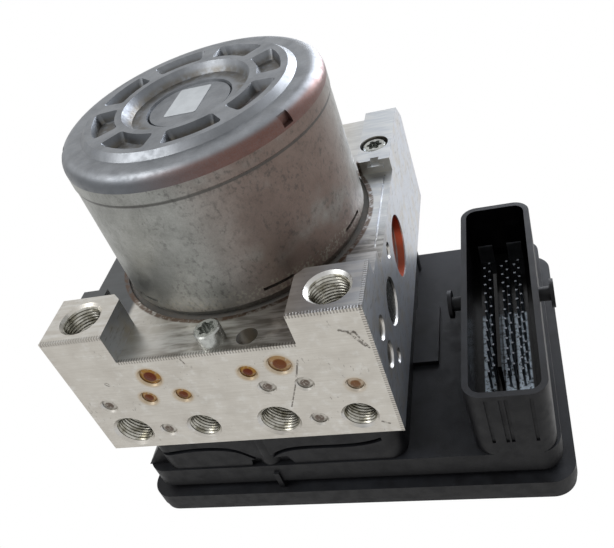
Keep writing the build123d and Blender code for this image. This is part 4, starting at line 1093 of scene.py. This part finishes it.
@dataclass
class ControlUnit:
    """The plastic control unit with its shroud, carrier, pins, board and coils, and the fixing screws.

    Attributes:
        cover_colour: Colour of the cover, a little paler than the housing.
        cover_dust: Colour of the dust on it.
        cover_roughness: Roughness of the cover.
    """

    cover_colour: str = "#19191b"
    cover_dust: str = "#222326"
    cover_roughness: float = 0.46

    def build(self) -> list[str]:
        """Dresses the control unit's nodes.

        Returns:
            Names of the pieces.
        """
        pieces = dress(["ecu_housing"], MouldedPlastic("glass_filled_polyester"))
        cover = MouldedPlastic("cover_polyester", self.cover_colour, self.cover_dust, self.cover_roughness)
        pieces += dress(["ecu_cover"], cover)
        pieces += dress(["pin_carrier"], CarrierPlastic())
        # Tinned bronze: grey points in the dark of the shroud
        pins = PlainFinish("tinned_bronze", "#5f6266", "#4a4c50", 1.0, 0.38)
        pieces += dress(["connector_pins"], pins)
        # Glass and epoxy under solder resist: dark green, slightly glossy
        board = PlainFinish("epoxy_board", "#20452f", "#1a3826", 0.0, 0.4)
        pieces += dress(["circuit_board"], board)
        # Overmoulded coils: brown black plastic drums
        coils = PlainFinish("overmoulded_coil", "#2f2a24", "#241f1b", 0.0, 0.5)
        pieces += dress(["inlet_valve_coils", "outlet_valve_coils"], coils)
        # Zinc plated steel: pale grey heads that catch the light
        screws = PlainFinish("zinc_plated_steel", "#b2b4b0", "#7c7d7a", 1.0, 0.27, 1.5)
        pieces += dress(["fixing_screws"], screws)
        return pieces


@dataclass(frozen=True)
class Lamp:
    """A soft square lamp: its name, its place and side in metres, its power in watts and its colour."""

    name: str
    place: tuple[float, float, float]
    size: float
    power: float
    colour: str


@dataclass
class Studio:
    """A pale floor, soft light and the camera.

    Attributes:
        floor_size: Side of the floor, in metres.
        floor_gap: How far the floor lies under the object, in mm.
        floor_colour: Colour of the floor's paint.
        glow: Share of plain white in the floor as the camera sees it.
        sky: World strength on matt surfaces.
        sky_gloss: World strength in reflections.
        aim: What the lamps point at, in metres.
        lamps: The lamps.
    """

    floor_size: float = 6.0
    floor_gap: float = 0.1
    floor_colour: str = "#eeeeee"
    glow: float = 1.0
    sky: float = 0.62
    sky_gloss: float = 0.85
    aim: tuple[float, float, float] = (0.0, 0.0, 0.05)
    lamps: tuple[Lamp, ...] = (
        Lamp("key", (-0.5, -0.25, 0.75), 0.5, 5.0, "#ffffff"),
        Lamp("back", (0.34, 0.80, 0.42), 0.6, 7.0, "#f4f8ff"),
        Lamp("low", (0.35, 0.75, 0.2), 0.35, 4.0, "#f0f4ff"),
    )

    def sweep(self) -> bpy.types.Material:
        """The floor's material: white paint to the object, and white light to the camera and in mirrors."""
        material = bpy.data.materials.new("white_sweep")
        material.use_nodes = True
        tree = material.node_tree
        tree.nodes.remove(tree.nodes["Principled BSDF"])
        path = add(tree, "ShaderNodeLightPath")
        seen = path.outputs["Is Camera Ray"]
        for ray in ("Is Glossy Ray", "Is Transmission Ray"):
            seen = add(tree, "ShaderNodeMath", {0: seen, 1: path.outputs[ray]}, operation="MAXIMUM").outputs[0]
        share = add(tree, "ShaderNodeMath", {0: seen, 1: self.glow}, operation="MULTIPLY").outputs[0]
        paint = add(tree, "ShaderNodeBsdfDiffuse", {"Color": linear(self.floor_colour)}).outputs[0]
        light = add(tree, "ShaderNodeEmission", {"Color": (1, 1, 1, 1), "Strength": 1.0}).outputs[0]
        mixed = add(tree, "ShaderNodeMixShader", {0: share, 1: paint, 2: light})
        tree.links.new(mixed.outputs[0], tree.nodes["Material Output"].inputs["Surface"])
        return material

    def floor(self) -> None:
        """Makes the floor just under the object."""
        half = self.floor_size / 2
        height = CAD_BOX[0][2] - self.floor_gap * MM
        mesh = bpy.data.meshes.new("studio_floor")
        corners = [(-half, -half), (half, -half), (half, half), (-half, half)]
        mesh.from_pydata([(x, y, height) for x, y in corners], [], [(0, 1, 2, 3)])
        mesh.materials.append(self.sweep())
        floor = bpy.data.objects.new("studio_floor", mesh)
        bpy.context.scene.collection.objects.link(floor)

    def sky_light(self) -> None:
        """Sets the world: white to the camera, and a soft room round the object for everything else."""
        world = bpy.data.worlds.new("studio")
        world.use_nodes = True
        bpy.context.scene.world = world
        tree = world.node_tree
        back = tree.nodes["Background"]
        path = add(tree, "ShaderNodeLightPath")
        sockets = {0: path.outputs["Is Glossy Ray"], 2: self.sky, 3: self.sky_gloss}
        room = add(tree, "ShaderNodeMix", sockets).outputs[0]
        strength = add(tree, "ShaderNodeMix", {0: path.outputs["Is Camera Ray"], 2: room, 3: 1.0})
        back.inputs["Color"].default_value = (1, 1, 1, 1)
        tree.links.new(strength.outputs[0], back.inputs["Strength"])

    def hang(self, lamp: Lamp) -> None:
        """Adds a lamp that looks at the object.

        Args:
            lamp: The lamp.
        """
        data = bpy.data.lights.new(lamp.name, "AREA")
        data.size = lamp.size
        data.energy = lamp.power
        data.color = linear(lamp.colour)[:3]
        hung = bpy.data.objects.new(lamp.name, data)
        bpy.context.scene.collection.objects.link(hung)
        hung.location = lamp.place
        aim = Vector(self.aim) - hung.location
        hung.rotation_euler = aim.to_track_quat("-Z", "Y").to_euler()

    def camera(self) -> None:
        """Puts the camera where the photograph was taken from."""
        data = bpy.data.cameras.new("camera")
        data.sensor_width = SENSOR_WIDTH
        data.sensor_fit = "HORIZONTAL"
        data.lens = LENS
        data.clip_start = CLOSEST_SEEN * MM
        camera = bpy.data.objects.new("camera", data)
        bpy.context.scene.collection.objects.link(camera)
        back = CAMERA_RIGHT.cross(CAMERA_UP).normalized()
        up = back.cross(CAMERA_RIGHT).normalized()
        turn = Matrix((CAMERA_RIGHT.normalized(), up, back)).transposed()
        camera.matrix_world = Matrix.Translation(CAMERA_PLACE) @ turn.to_4x4()
        bpy.context.scene.camera = camera

    def build(self) -> None:
        """Sets up the floor, the light and the camera."""
        self.floor()
        self.sky_light()
        for lamp in self.lamps:
            self.hang(lamp)
        self.camera()
        bpy.context.scene.view_settings.view_transform = "Standard"


def main() -> None:
    """Builds the looks of the module and reports its pieces."""
    logging.basicConfig(level=logging.INFO, format="%(name)s: %(message)s")
    for builder in (Hydraulics(), Motor(), ControlUnit()):
        for name in builder.build():
            LOG.info("%s: %s", type(builder).__name__, name)
    Studio().build()


if __name__ == "__main__":
    main()
